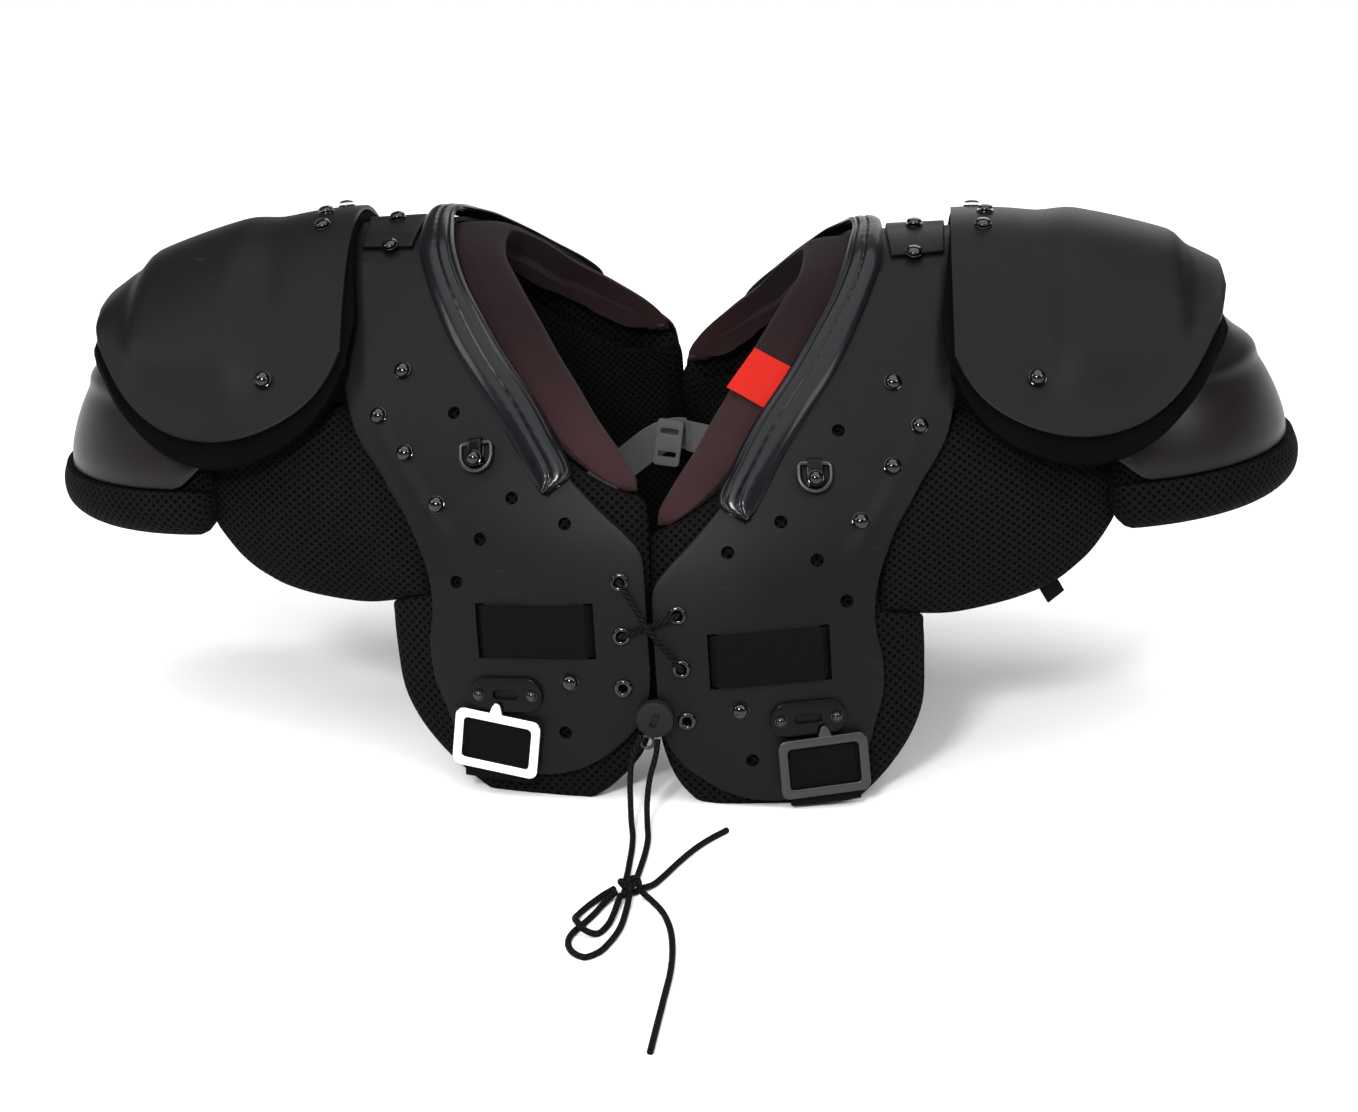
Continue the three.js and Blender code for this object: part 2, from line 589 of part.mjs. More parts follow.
// Pieces that lie flat on the breast plate
function stadium(width, height) {
  const shape = new THREE.Shape();
  const straight = (width - height) / 2;
  shape.absarc(straight, 0, height / 2, -Math.PI / 2, Math.PI / 2);
  shape.absarc(-straight, 0, height / 2, Math.PI / 2, Math.PI * 1.5);
  return shape;
}
function roundedRectangle(target, width, height, radius) {
  const [x, y] = [width / 2 - radius, height / 2 - radius];
  target.absarc(x, y, radius, 0, Math.PI / 2);
  target.absarc(-x, y, radius, Math.PI / 2, Math.PI);
  target.absarc(-x, -y, radius, Math.PI, Math.PI * 1.5);
  target.absarc(x, -y, radius, Math.PI * 1.5, Math.PI * 2);
  return target;
}
function flat(shape, depth, curveSegments = 3) {
  return new THREE.ExtrudeGeometry(shape, { depth, bevelEnabled: false, curveSegments });
}
function beltTab() {
  const shape = stadium(tab.width, tab.height);
  shape.holes.push(roundedRectangle(new THREE.Path(), tab.slotWidth, tab.slotHeight, 1));
  return setOn(flat(shape, tab.wall, 4), breast.tab.x, breast.tab.z, 2 * seatGap);
}
function beltBuckle() {
  const shape = roundedRectangle(new THREE.Shape(), buckle.width, buckle.height, 3);
  const window = { width: buckle.width - 2 * buckle.border, height: buckle.height - 2 * buckle.border };
  shape.holes.push(roundedRectangle(new THREE.Path(), window.width, window.height, 1));
  const frame = flat(shape, buckle.wall, 2);
  const tongue = new THREE.BoxGeometry(buckle.tongueWidth, buckle.tongueHeight, buckle.wall)
    .translate(-4, buckle.height / 2 + buckle.tongueHeight / 2 - 1, buckle.wall / 2);
  const lift = seatGap + belt.wall + seatGap;
  return setOn(join(frame, [tongue]), breast.buckle.x, breast.buckle.z, lift, buckle.tilt);
}
function beltStrap() {
  const body = new THREE.BoxGeometry(belt.width - 1.5, belt.length, belt.wall).translate(0, 0, belt.wall / 2);
  return setOn(body, breast.belt.x, breast.belt.z, seatGap, buckle.tilt);
}
function slotWebbing() {
  const { x, z } = breast.slotStrap;
  const reach = slotStrap.width / 2;
  const stations = [
    { across: -reach + slotStrap.slot / 2, lift: -plate.wall + 0.3 },
    { across: -reach + slotStrap.slot / 2, lift: 2 * seatGap },
    { across: 0, lift: 2 * seatGap },
    { across: reach - slotStrap.slot / 2, lift: 2 * seatGap },
    { across: reach - slotStrap.slot / 2, lift: -plate.wall + 0.3 },
  ];
  return wall(1, stations.length - 1, (row, column, side) => {
    const { across, lift } = stations[column];
    const height = z + (row - 0.5) * slotStrap.height;
    const end = column === 0 || column === stations.length - 1;
    const corner = column === 1 || column === stations.length - 2;
    const sideways = Math.sign(across) * slotStrap.wall / 2 * (side === 'outer' ? 1 : -1);
    const raise = side === 'outer' && !end ? slotStrap.wall : 0;
    return onBody(x + across + (end || corner ? sideways : 0), alongAt(height), lift + raise);
  });
}

// The small ring that swings in its riveted clip
function ringFrame() {
  const bar = seatGap + clip.wall + seatGap + ring.wire;
  return { ...breast.ring, lift: bar };
}
function dRing() {
  const radius = ring.width / 2 - ring.wire;
  const drop = ring.height - 2 * ring.wire - radius;
  const middle = new THREE.CurvePath();
  const corners = [new THREE.Vector3(-radius, 0, 0), new THREE.Vector3(-radius, -drop, 0)];
  for (let step = 1; step < 8; step += 1) {
    const angle = Math.PI + Math.PI * step / 8;
    corners.push(new THREE.Vector3(radius * Math.cos(angle), -drop + radius * Math.sin(angle), 0));
  }
  corners.push(new THREE.Vector3(radius, -drop, 0), new THREE.Vector3(radius, 0, 0));
  const sides = 6;
  const points = [];
  corners.forEach((corner, index) => {
    const last = corners[(index + corners.length - 1) % corners.length];
    const next = corners[(index + 1) % corners.length];
    const run = next.clone().sub(corner).normalize().add(corner.clone().sub(last).normalize()).normalize();
    const out = new THREE.Vector3(run.y, -run.x, 0);
    const turn = next.clone().sub(corner).normalize().dot(run);
    for (let side = 0; side < sides; side += 1) {
      const angle = 2 * Math.PI * side / sides;
      points.push(corner.clone().addScaledVector(out, ring.wire * Math.cos(angle) / Math.max(turn, 0.5))
        .add(new THREE.Vector3(0, 0, ring.wire * Math.sin(angle))));
    }
  });
  const faces = [];
  for (let index = 0; index < corners.length; index += 1) {
    for (let side = 0; side < sides; side += 1) {
      const a = index * sides + side;
      const b = index * sides + (side + 1) % sides;
      const c = ((index + 1) % corners.length) * sides + (side + 1) % sides;
      const d = ((index + 1) % corners.length) * sides + side;
      faces.push([a, b, c], [a, c, d]);
    }
  }
  const { x, z, lift } = ringFrame();
  return setOn(closedMesh(points, faces), x, z, lift);
}
function ringClip() {
  const inner = ring.wire + seatGap;
  const outer = inner + clip.wall;
  const section = new THREE.Shape();
  section.moveTo(-clip.drop, -outer);
  section.lineTo(0, -outer);
  section.absarc(0, 0, outer, -Math.PI / 2, Math.PI / 2);
  section.lineTo(-clip.drop, outer);
  section.lineTo(-clip.drop, inner);
  section.lineTo(0, inner);
  section.absarc(0, 0, inner, Math.PI / 2, -Math.PI / 2, true);
  section.lineTo(-clip.drop, -inner);
  section.closePath();
  const hairpin = flat(section, clip.width, 4).translate(0, 0, -clip.width / 2);
  const turned = hairpin.applyMatrix4(new THREE.Matrix4().makeBasis(
    new THREE.Vector3(0, 1, 0), new THREE.Vector3(0, 0, 1), new THREE.Vector3(1, 0, 0),
  ));
  const stem = new THREE.CylinderGeometry(1.6, 1.6, 2 * outer - 0.2, 6).rotateX(Math.PI / 2).translate(0, -clip.rivetDrop, 0);
  const dome = new THREE.SphereGeometry(3.8, 6, 4).scale(1, 1, 0.6).translate(0, -clip.rivetDrop, outer);
  const { x, z, lift } = ringFrame();
  return setOn(join(turned, [stem, dome]), x, z, lift);
}

// Placing a half: it leans over its pivot on the floor
function halfMatrix(side) {
  const pivot = new THREE.Vector3(side * leanPivot.x, 0, leanPivot.z);
  return new THREE.Matrix4().makeTranslation(pivot.x, pivot.y, pivot.z)
    .multiply(new THREE.Matrix4().makeRotationY(-THREE.MathUtils.degToRad(leanAngle)))
    .multiply(new THREE.Matrix4().makeTranslation(-pivot.x, -pivot.y, -pivot.z));
}
function mirrored(geometry, side) {
  if (side > 0) return geometry;
  const flipped = geometry.index ? geometry.clone() : mergeVertices(geometry);
  flipped.scale(-1, 1, 1);
  const index = flipped.index.array;
  for (let corner = 0; corner < index.length; corner += 3) {
    [index[corner + 1], index[corner + 2]] = [index[corner + 2], index[corner + 1]];
  }
  flipped.computeVertexNormals();
  return flipped;
}
// What stands on the floor is pressed flat against it
function pressedFlat(geometry, side) {
  const block = new THREE.BoxGeometry(3 * halfWidth, 6 * frontDepth, 60).translate(0, 0, -30);
  block.applyMatrix4(halfMatrix(side).invert());
  return cut(geometry, [block]);
}
function placed(side, point) {
  return new THREE.Vector3(side * point.x, point.y, point.z).applyMatrix4(halfMatrix(side));
}

function named(name, geometry, material) {
  const mesh = new THREE.Mesh(geometry, material);
  mesh.name = name;
  return mesh;
}
function buildHalf(side, suffix) {
  const half = new THREE.Group();
  const add = (name, geometry, material) => half.add(named(`${name}_${suffix}`, mirrored(geometry, side), material));
  const body = mirrored(band(bodyPadOutline, 5, cushionLift(-plate.wall - 2 * seatGap, bodyPad.thickness, bodyPad.edge)), side);
  const rear = mirrored(
    band(backPadOutline, 5, cushionLift(-plate.wall - 2 * seatGap, bodyPad.thickness, bodyPad.edge), true), side,
  );
  half.add(named(`body_pad_${suffix}`, pressedFlat(body, side), finishes.mesh));
  half.add(named(`back_pad_${suffix}`, pressedFlat(rear, side), finishes.mesh));
  add('front_plate', frontPlate(), finishes.plastic);
  add('back_plate', backPlate(), finishes.plastic);
  add('shoulder_arch', shoulderArch(), finishes.plastic);
  add('bridge_strap', bridgeStrap(), finishes.plastic);
  add('shoulder_flap', shoulderFlap(), finishes.plastic);
  add('flap_liner', flapLiner(), finishes.webbing);
  add('shoulder_cup', shoulderCup(), finishes.cup);
  add('cup_pad', shoulderCupPad(), finishes.mesh);
  add('chest_pad', chestCushion(false), finishes.mesh);
  add('blade_pad', chestCushion(true), finishes.mesh);
  add('neck_pad', band(neckOutline, 4, cushionLift(-neckPad.sink, neckPad.thickness, neckPad.edge)), finishes.lining);
  add('neck_binding', collarBinding(), finishes.vinyl);
  add('belt_tab', beltTab(), finishes.vinyl);
  add('belt_buckle', beltBuckle(), side > 0 ? finishes.darkMetal : finishes.brightMetal);
  add('belt_strap', beltStrap(), finishes.webbing);
  add('slot_strap', slotWebbing(), finishes.webbing);
  add('d_ring', dRing(), finishes.darkMetal);
  add('ring_clip', ringClip(), finishes.vinyl);
  half.applyMatrix4(halfMatrix(side));
  return half;
}

// The lace: routes chosen by hand, in millimetres on the floor in front of the pads
const laceRoutes = {
  lace_strand_left: [[-3.6, -156.6, 40.3], [-5.6, -159, 36], [-7.4, -162, 31], [-8.2, -166, 22], [-7.6, -171, 11],
    [-6.4, -179, 4], [-4.6, -190, 1.7], [-3.4, -205, 1.5], [-2.8, -222, 1.5], [-2.4, -240, 1.6], [-2.6, -247.8, 2.4]],
  lace_strand_right: [[4.6, -156.8, 38.9], [4, -160, 32], [1.4, -166, 21], [0.6, -171, 10], [1.6, -180, 3.4],
    [3.1, -192, 1.6], [3.6, -208, 1.5], [3.2, -224, 1.5], [2.6, -239, 1.6], [2.6, -246.8, 2.4]],
  bow_loop_upper: [[-6.3, -256.5, 3], [-10.4, -261.4, 2.2], [-16, -272, 1.6], [-20, -283, 1.6], [-20.6, -291, 3.4],
    [-18.6, -299, 5.2], [-14.4, -304, 3.6], [-9.4, -303, 1.7], [-5.6, -294, 1.6], [-4.2, -284, 1.8],
    [-3.4, -272, 2.2], [-2.8, -263.6, 3]],
  bow_loop_lower: [[-5.4, -260.8, 3], [-8.2, -266.4, 2.2], [-10.4, -273, 1.8], [-13, -282, 1.5], [-17, -294, 1.5],
    [-20.6, -304, 1.5], [-21, -314, 1.5], [-17.6, -323, 1.5], [-12, -327, 1.5], [-6.6, -322, 1.5], [-2.6, -311, 1.5],
    [0.4, -296, 1.5], [1.2, -283, 1.7], [1.4, -272, 2.2], [1.4, -265, 3]],
  lace_end_upper: [[7.2, -253.8, 2.8], [11, -247.6, 1.8], [15, -237, 1.5], [20, -222, 1.5], [26.5, -205, 1.5],
    [33, -192, 1.5], [40.7, -180, 1.5]],
  lace_end_lower: [[7, -259.2, 2.8], [11.6, -265, 1.8], [18, -277, 1.5], [23, -294, 1.5], [26, -315, 1.5],
    [27.2, -338, 1.5], [26.8, -362, 1.5], [26.2, -388, 1.5], [25.6, -414, 1.5]],
};
const knotPlace = { x: 0.6, y: -255.8 };
const tubeSteps = { lace_strand_left: 14, lace_strand_right: 14, bow_loop_upper: 15, bow_loop_lower: 17,
  lace_end_upper: 9, lace_end_lower: 13 };

function tube(points, steps, radius = lace.radius, sides = lace.sides) {
  const section = new THREE.Shape();
  for (let side = 0; side < sides; side += 1) {
    const angle = 2 * Math.PI * (side + 0.5) / sides;
    section[side === 0 ? 'moveTo' : 'lineTo'](radius * Math.cos(angle), radius * Math.sin(angle));
  }
  section.closePath();
  const path = new THREE.CatmullRomCurve3(points, false, 'centripetal');
  return new THREE.ExtrudeGeometry(section, { steps, extrudePath: path, bevelEnabled: false });
}
// One lace of the cross over the seam, from the eyelet of one side to the next eyelet of the other
function laceCross(from, to, rise) {
  const entry = (side, { x, z }, lift) => placed(side, onBody(x, alongAt(z), lift));
  const start = [entry(-1, from, -plate.wall + 0.3), entry(-1, from, 0.4), entry(-1, from, 2)];
  const end = [entry(1, to, 2), entry(1, to, 0.4), entry(1, to, -plate.wall + 0.3)];
  const step = end[0].clone().sub(start[2]);
  const over = [0.14, 0.5, 0.86].map((share) => start[2].clone().addScaledVector(step, share)
    .add(new THREE.Vector3(0, -(share === 0.5 ? rise : 1.4), 0)));
  return tube([...start, ...over, ...end], 14);
}
function knotBody() {
  const body = new THREE.SphereGeometry(0.5, 10, 6).scale(knot.width, knot.length, knot.height);
  return body.translate(knotPlace.x, knotPlace.y, knot.height / 2);
}

// The grey strap inside the back follows the pads, and its slide sits on it
const backStrapPlaces = [{ x: -62, z: 94 }, { x: -40, z: 111 }, { x: -20, z: 126 }, { x: -8, z: 130 },
  { x: 8, z: 128 }, { x: 34, z: 117 }, { x: 58, z: 105 }];
const slidePlace = { x: -13.5, z: 128 };
const labelPlace = { x: 58, z: 212, turn: -32 };
const tabPlace = { x: 0.631 * halfWidth, z: 0.347 * shoulderHeight, turn: 30 };
const strapLift = -plate.wall - bodyPad.thickness - 4 * seatGap;
function onBackPad({ x, z }, lift) {
  const side = Math.sign(x) || 1;
  const local = new THREE.Vector3(x, 0, z).applyMatrix4(halfMatrix(side).invert());
  return placed(side, onBody(Math.abs(local.x), alongAt(local.z, true), lift));
}
function backStrapBand() {
  return wall(1, backStrapPlaces.length - 1, (row, column, side) => {
    const last = backStrapPlaces[Math.max(column - 1, 0)];
    const next = backStrapPlaces[Math.min(column + 1, backStrapPlaces.length - 1)];
    const length = Math.hypot(next.x - last.x, next.z - last.z);
    const half = (row - 0.5) * backStrap.width;
    const { x, z } = backStrapPlaces[column];
    const edge = { x: x - half * (next.z - last.z) / length, z: z + half * (next.x - last.x) / length };
    return onBackPad(edge, strapLift - (side === 'outer' ? 0 : backStrap.wall));
  });
}

function strapSlide() {
  const { slideWidth, slideHeight, slideWall, slideGap } = backStrap;
  const frame = new THREE.BoxGeometry(slideWidth, slideWall, slideHeight);
  const slot = new THREE.BoxGeometry(slideWidth - 5, 20, 3.2);
  const body = cut(frame, [-1, 1].map((end) => slot.clone().translate(0, 0, end * slideHeight / 4)));
  const seat = onBackPad(slidePlace, strapLift - backStrap.wall - slideGap - slideWall / 2);
  return body.rotateY(-0.12).translate(seat.x, seat.y, seat.z);
}
// A plain label on the front of the neck pad
function neckLabel() {
  const plain = new THREE.BoxGeometry(label.width, label.height, label.wall);
  const seat = -neckPad.sink + 2 * seatGap + label.wall / 2;
  return setOn(plain, labelPlace.x, labelPlace.z, seat, labelPlace.turn);
}
// The corner of a fabric tab under the outer chest pad
function chestTab() {
  const corner = new THREE.BoxGeometry(padTab.width, padTab.height, padTab.wall);
  return setOn(corner, tabPlace.x, tabPlace.z, -plate.wall - chestPad.thickness / 2, tabPlace.turn);
}

function buildShared() {
  const shared = new THREE.Group();
  const [first, second] = breast.eyelets;
  shared.add(named('lace_cross_upper', laceCross(first, second, 6.6), finishes.cord));
  shared.add(named('lace_cross_lower', laceCross(second, first, 1.6), finishes.cord));
  const seat = -frontDepth - seatGap - toggle.wall / 2;
  const disc = new THREE.CylinderGeometry(toggle.radius, toggle.radius, toggle.wall, 16).translate(3, seat, 48.4);
  shared.add(named('lace_toggle', disc, finishes.greyPlastic));
  const eye = new THREE.TorusGeometry(toggle.ringRadius, toggle.ringWire, 6, 12).rotateX(Math.PI / 2);
  shared.add(named('toggle_ring', eye.translate(-1, seat + 1.6, 35.4), finishes.darkMetal));
  for (const [name, route] of Object.entries(laceRoutes)) {
    shared.add(named(name, tube(route.map((point) => new THREE.Vector3(...point)), tubeSteps[name]), finishes.cord));
  }
  shared.add(named('lace_knot', knotBody(), finishes.cord));
  shared.add(named('back_strap', backStrapBand(), finishes.greyWebbing));
  shared.add(named('back_strap_slide', strapSlide(), finishes.greyPlastic));
  for (const [name, geometry, material] of [['neck_label', neckLabel(), finishes.red],
    ['chest_tab', chestTab(), finishes.webbing]]) {
    const mesh = named(name, geometry, material);
    mesh.applyMatrix4(halfMatrix(1));
    shared.add(mesh);
  }
  return shared;
}

const pads = new THREE.Group();
pads.add(buildHalf(1, 'right'), buildHalf(-1, 'left'), buildShared());

// The origin lies on the floor under the middle of the pads, without the loose lace
pads.updateMatrixWorld(true);
const extent = new THREE.Box3();
pads.traverse((piece) => {
  if (piece.isMesh && !(piece.name in laceRoutes) && piece.name !== 'lace_knot') extent.expandByObject(piece, true);
});
const middle = extent.getCenter(new THREE.Vector3());
pads.position.set(-middle.x, -middle.y, -extent.min.z);

export default pads;
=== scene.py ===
import functools
import math

import bpy
from mathutils import Matrix, Vector


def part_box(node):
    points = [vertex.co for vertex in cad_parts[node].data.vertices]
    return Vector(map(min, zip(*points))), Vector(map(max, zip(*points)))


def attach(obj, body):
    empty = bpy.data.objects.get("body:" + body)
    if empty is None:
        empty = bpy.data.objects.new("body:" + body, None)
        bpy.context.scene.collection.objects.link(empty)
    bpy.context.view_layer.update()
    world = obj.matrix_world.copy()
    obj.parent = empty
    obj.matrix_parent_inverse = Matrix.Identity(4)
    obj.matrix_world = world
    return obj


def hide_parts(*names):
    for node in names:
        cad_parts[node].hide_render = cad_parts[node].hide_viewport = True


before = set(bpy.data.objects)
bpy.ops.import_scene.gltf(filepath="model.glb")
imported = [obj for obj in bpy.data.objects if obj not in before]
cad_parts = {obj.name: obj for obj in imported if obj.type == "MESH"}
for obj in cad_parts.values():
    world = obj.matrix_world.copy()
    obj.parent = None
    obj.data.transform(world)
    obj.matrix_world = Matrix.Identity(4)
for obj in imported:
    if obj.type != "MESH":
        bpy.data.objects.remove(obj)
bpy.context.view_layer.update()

mm = 0.001
# What rests on the floor stops this far above it, in metres
floorGap = 0.0002

# One half in millimetres, before it leans: the same body that the solids follow
body = {
    "height": 265, "frontDepth": 150, "backDepth": 137, "roundness": 400, "halfWidth": 325,
    "lean": 4.2, "pivotX": 126, "pivotZ": 90, "seat": 0.4,
}
plates = {"wall": 2.6, "archSink": 3.4, "archWall": 2.4, "rounding": 0.8}
toggle = {"x": 3, "z": 48.4, "radius": 9.3, "thick": 6.5, "slot": (3.4, 7.5), "slotTurn": -24,
          "ringX": -1, "ringZ": 35.4, "ringRadius": 3.2, "ringWire": 0.9}

# The frame's origin is under the middle of the pads, found from the toggle
toggleCentre = Vector((toggle["x"], -body["frontDepth"] - body["seat"] - toggle["thick"] / 2, toggle["z"]))
frameShift = (Vector(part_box("lace_toggle")[0]) + Vector(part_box("lace_toggle")[1])) / 2 / mm - toggleCentre

# Side view of the plates: shares of the front or back depth and of the height
sideView = [
    (-1.0, -0.06), (-1.0, 0), (-0.997, 0.19), (-0.973, 0.34), (-0.92, 0.472), (-0.833, 0.585),
    (-0.713, 0.698), (-0.56, 0.8), (-0.38, 0.893), (-0.2, 0.958), (0, 0.993), (0.15, 1.0),
    (0.34, 0.965), (0.48, 0.89), (0.59, 0.83), (0.68, 0.755), (0.755, 0.66), (0.82, 0.545),
    (0.885, 0.4), (0.95, 0.24), (0.99, 0.1), (1.0, -0.06),
]

# Outlines: up the body as a share of its height, inner and outer edge as shares of the half width
frontOutline = [
    (0.032, 0.172, 0.222), (0.04, 0.135, 0.258), (0.057, 0.101, 0.286), (0.083, 0.069, 0.306),
    (0.121, 0.035, 0.32), (0.166, 0.014, 0.331), (0.219, 0.006, 0.345), (0.287, 0.0055, 0.348),
    (0.347, 0.0055, 0.34), (0.407, 0.0055, 0.342), (0.453, 0.009, 0.352), (0.487, 0.031, 0.363),
    (0.525, 0.065, 0.378), (0.558, 0.092, 0.397), (0.592, 0.117, 0.415), (0.66, 0.142, 0.455),
    (0.755, 0.197, 0.477), (0.849, 0.257, 0.48), (0.9, 0.283, 0.482), (0.94, 0.303, 0.483),
]
backOutline = [
    (0.034, 0.172, 0.222), (0.042, 0.135, 0.265), (0.06, 0.098, 0.295), (0.091, 0.062, 0.317),
    (0.128, 0.031, 0.332), (0.174, 0.012, 0.345), (0.226, 0.006, 0.357), (0.32, 0.0055, 0.36),
    (0.415, 0.0055, 0.363), (0.475, 0.0055, 0.372), (0.53, 0.0055, 0.382), (0.58, 0.0055, 0.397),
    (0.625, 0.0055, 0.412), (0.672, 0.012, 0.437), (0.71, 0.04, 0.455), (0.755, 0.08, 0.474),
    (0.811, 0.129, 0.486), (0.86, 0.167, 0.492), (0.9, 0.202, 0.49), (0.94, 0.242, 0.486),
]
# Over the shoulder: rows of the front, then of the back
archOutline = {
    "front": [(0.9, 0.286, 0.492), (0.94, 0.304, 0.503), (0.965, 0.315, 0.508), (0.985, 0.321, 0.508),
              (0.999, 0.324, 0.508)],
    "back": [(0.985, 0.305, 0.508), (0.965, 0.277, 0.508), (0.94, 0.246, 0.505), (0.9, 0.206, 0.495)],
}
bridgeOutline = {
    "front": [(0.965, 0.382, 0.466), (0.985, 0.377, 0.466), (0.999, 0.372, 0.466)],
    "back": [(0.985, 0.377, 0.466), (0.965, 0.382, 0.466)],
}
collarOutline = {
    "front": [(0.56, 0.151, 0.157), (0.592, 0.111, 0.175), (0.66, 0.137, 0.209), (0.717, 0.166, 0.243),
              (0.792, 0.217, 0.292), (0.849, 0.252, 0.322), (0.906, 0.286, 0.348), (0.951, 0.306, 0.365),
              (0.985, 0.317, 0.368), (0.998, 0.32, 0.366)],
    "back": [(0.985, 0.3, 0.352), (0.955, 0.257, 0.315), (0.91, 0.209, 0.272), (0.87, 0.174, 0.238),
             (0.811, 0.124, 0.188), (0.78, 0.118, 0.145)],
}
neckOutline = {
    "front": [(0.57, 0.015, 0.034), (0.596, 0.018, 0.076), (0.642, 0.042, 0.128), (0.698, 0.076, 0.172),
              (0.755, 0.107, 0.209), (0.811, 0.141, 0.246), (0.868, 0.173, 0.283), (0.92, 0.205, 0.33),
              (0.97, 0.235, 0.36), (0.998, 0.24, 0.37)],
    "back": [(0.97, 0.222, 0.345), (0.92, 0.185, 0.3), (0.868, 0.143, 0.243), (0.811, 0.092, 0.19),
             (0.755, 0.043, 0.14), (0.715, 0.02, 0.092), (0.69, 0.016, 0.048)],
}
bodyPadOutline = [
    (-0.034, 0.142, 0.228), (-0.022, 0.105, 0.271), (0.004, 0.074, 0.305), (0.03, 0.051, 0.332),
    (0.068, 0.026, 0.363), (0.121, 0.009, 0.394), (0.181, 0.001, 0.414), (0.264, -0.0008, 0.42),
    (0.33, -0.0008, 0.421), (0.355, -0.0008, 0.419), (0.377, -0.0008, 0.36), (0.39, -0.0008, 0.3575),
    (0.453, -0.0008, 0.3575), (0.521, -0.0008, 0.3585), (0.553, 0.006, 0.374), (0.574, 0.049, 0.383),
    (0.604, 0.095, 0.4), (0.649, 0.145, 0.426), (0.706, 0.188, 0.444), (0.762, 0.225, 0.452),
    (0.819, 0.262, 0.458), (0.86, 0.289, 0.462),
]
backPadOutline = [
    (-0.034, 0.142, 0.228), (-0.022, 0.105, 0.277), (0.004, 0.074, 0.314), (0.03, 0.051, 0.34),
    (0.068, 0.026, 0.369), (0.121, 0.009, 0.397), (0.181, 0.001, 0.415), (0.264, -0.0008, 0.42),
    (0.33, -0.0008, 0.421), (0.355, -0.0008, 0.419), (0.377, -0.0008, 0.36), (0.39, -0.0008, 0.3575),
    (0.521, -0.0008, 0.3585), (0.58, -0.0008, 0.386), (0.64, 0.0, 0.421), (0.675, 0.014, 0.436),
    (0.698, 0.078, 0.444), (0.736, 0.133, 0.452), (0.79, 0.182, 0.461), (0.845, 0.235, 0.47),
    (0.872, 0.262, 0.472),
]
# The outer chest pad, from the plate outwards: lower and upper edge
chestPadOutline = [
    (0.354, 0.371, 0.52), (0.388, 0.364, 0.58), (0.4215, 0.356, 0.634), (0.471, 0.349, 0.715),
    (0.523, 0.351, 0.725), (0.578, 0.358, 0.717), (0.628, 0.373, 0.695), (0.671, 0.404, 0.664),
    (0.705, 0.45, 0.62), (0.726, 0.498, 0.566),
]
# The shoulder flap, from its inner edge outwards: crest, reach to front and back, hem
flapRows = [
    (0.477, 1.021, 0.277, 0.812), (0.498, 1.021, 0.3, 0.765), (0.529, 1.019, 0.318, 0.725),
    (0.578, 1.013, 0.332, 0.69), (0.64, 1.0, 0.338, 0.667), (0.702, 0.983, 0.332, 0.664),
    (0.763, 0.962, 0.314, 0.682), (0.818, 0.939, 0.284, 0.727), (0.862, 0.913, 0.237, 0.796),
    (0.889, 0.892, 0.18, 0.846), (0.902, 0.882, 0.098, 0.869),
]
# The cup from its top to its rim: share of the radius and of the height
cupRows = [
    (0.25, 0.9), (0.43, 0.862), (0.61, 0.808), (0.71, 0.768), (0.8, 0.728), (0.885, 0.682),
    (0.95, 0.632), (0.99, 0.585), (1.0, 0.551),
]
# Section of the pad under the cup: in from the rim, up from its foot
cupPadSection = [
    (-0.11, 0.59), (-0.18, 0.42), (-0.15, 0.22), (0.03, 0.07), (0.3, 0), (0.58, 0.04), (0.76, 0.2),
    (0.82, 0.47), (0.76, 0.82), (0.52, 1), (0.27, 0.9), (0.13, 0.59),
]


# Curves through chosen points
def throughPoints(points, perSpan):
    points = [Vector(point) for point in points]
    before = points[0] * 2 - points[1]
    after = points[-1] * 2 - points[-2]
    line = [before] + points + [after]
    path = []
    for index in range(1, len(line) - 2):
        a, b, c, d = line[index - 1:index + 3]
        ab, bc, cd = [max((q - p).length, 1e-6) ** 0.5 for p, q in ((a, b), (b, c), (c, d))]
        leave = ((b - a) / ab - (c - a) / (ab + bc) + (c - b) / bc) * bc
        arrive = ((c - b) / bc - (d - b) / (bc + cd) + (d - c) / cd) * bc
        for step in range(perSpan):
            t = step / perSpan
            path.append(b + leave * t + (c * 3 - b * 3 - leave * 2 - arrive) * t * t
                        + (b * 2 - c * 2 + leave + arrive) * t ** 3)
    path.append(points[-1])
    return path


def runLengths(path):
    lengths = [0.0]
    for a, b in zip(path, path[1:]):
        lengths.append(lengths[-1] + (b - a).length)
    return lengths


def readLine(table, at):
    # A row of a fine table, read by its first column
    for low, high in zip(table, table[1:]):
        if at <= high[0]:
            break
    share = min(max((at - low[0]) / (high[0] - low[0]), 0), 1)
    return low.lerp(high, share)


def smoothStep(low, high, value):
    share = min(max((value - low) / (high - low), 0), 1)
    return share * share * (3 - 2 * share)


sidePath = throughPoints([(depth * body["frontDepth" if depth < 0 else "backDepth"], up * body["height"])
                          for depth, up in sideView], 40)
sideLengths = runLengths(sidePath)
crownIndex = max(range(len(sidePath)), key=lambda index: sidePath[index].y)


@functools.lru_cache(maxsize=None)
def alongAt(height, behind=False):
    # How far along the side path it passes a height, in millimetres
    step = 1 if behind else -1
    index = crownIndex
    while sidePath[index].y > height:
        index += step
    a, b = sidePath[index - step], sidePath[index]
    share = (a.y - height) / max(a.y - b.y, 1e-9)
    start, end = sideLengths[index - step], sideLengths[index]
    return start + (end - start) * min(max(share, 0), 1)


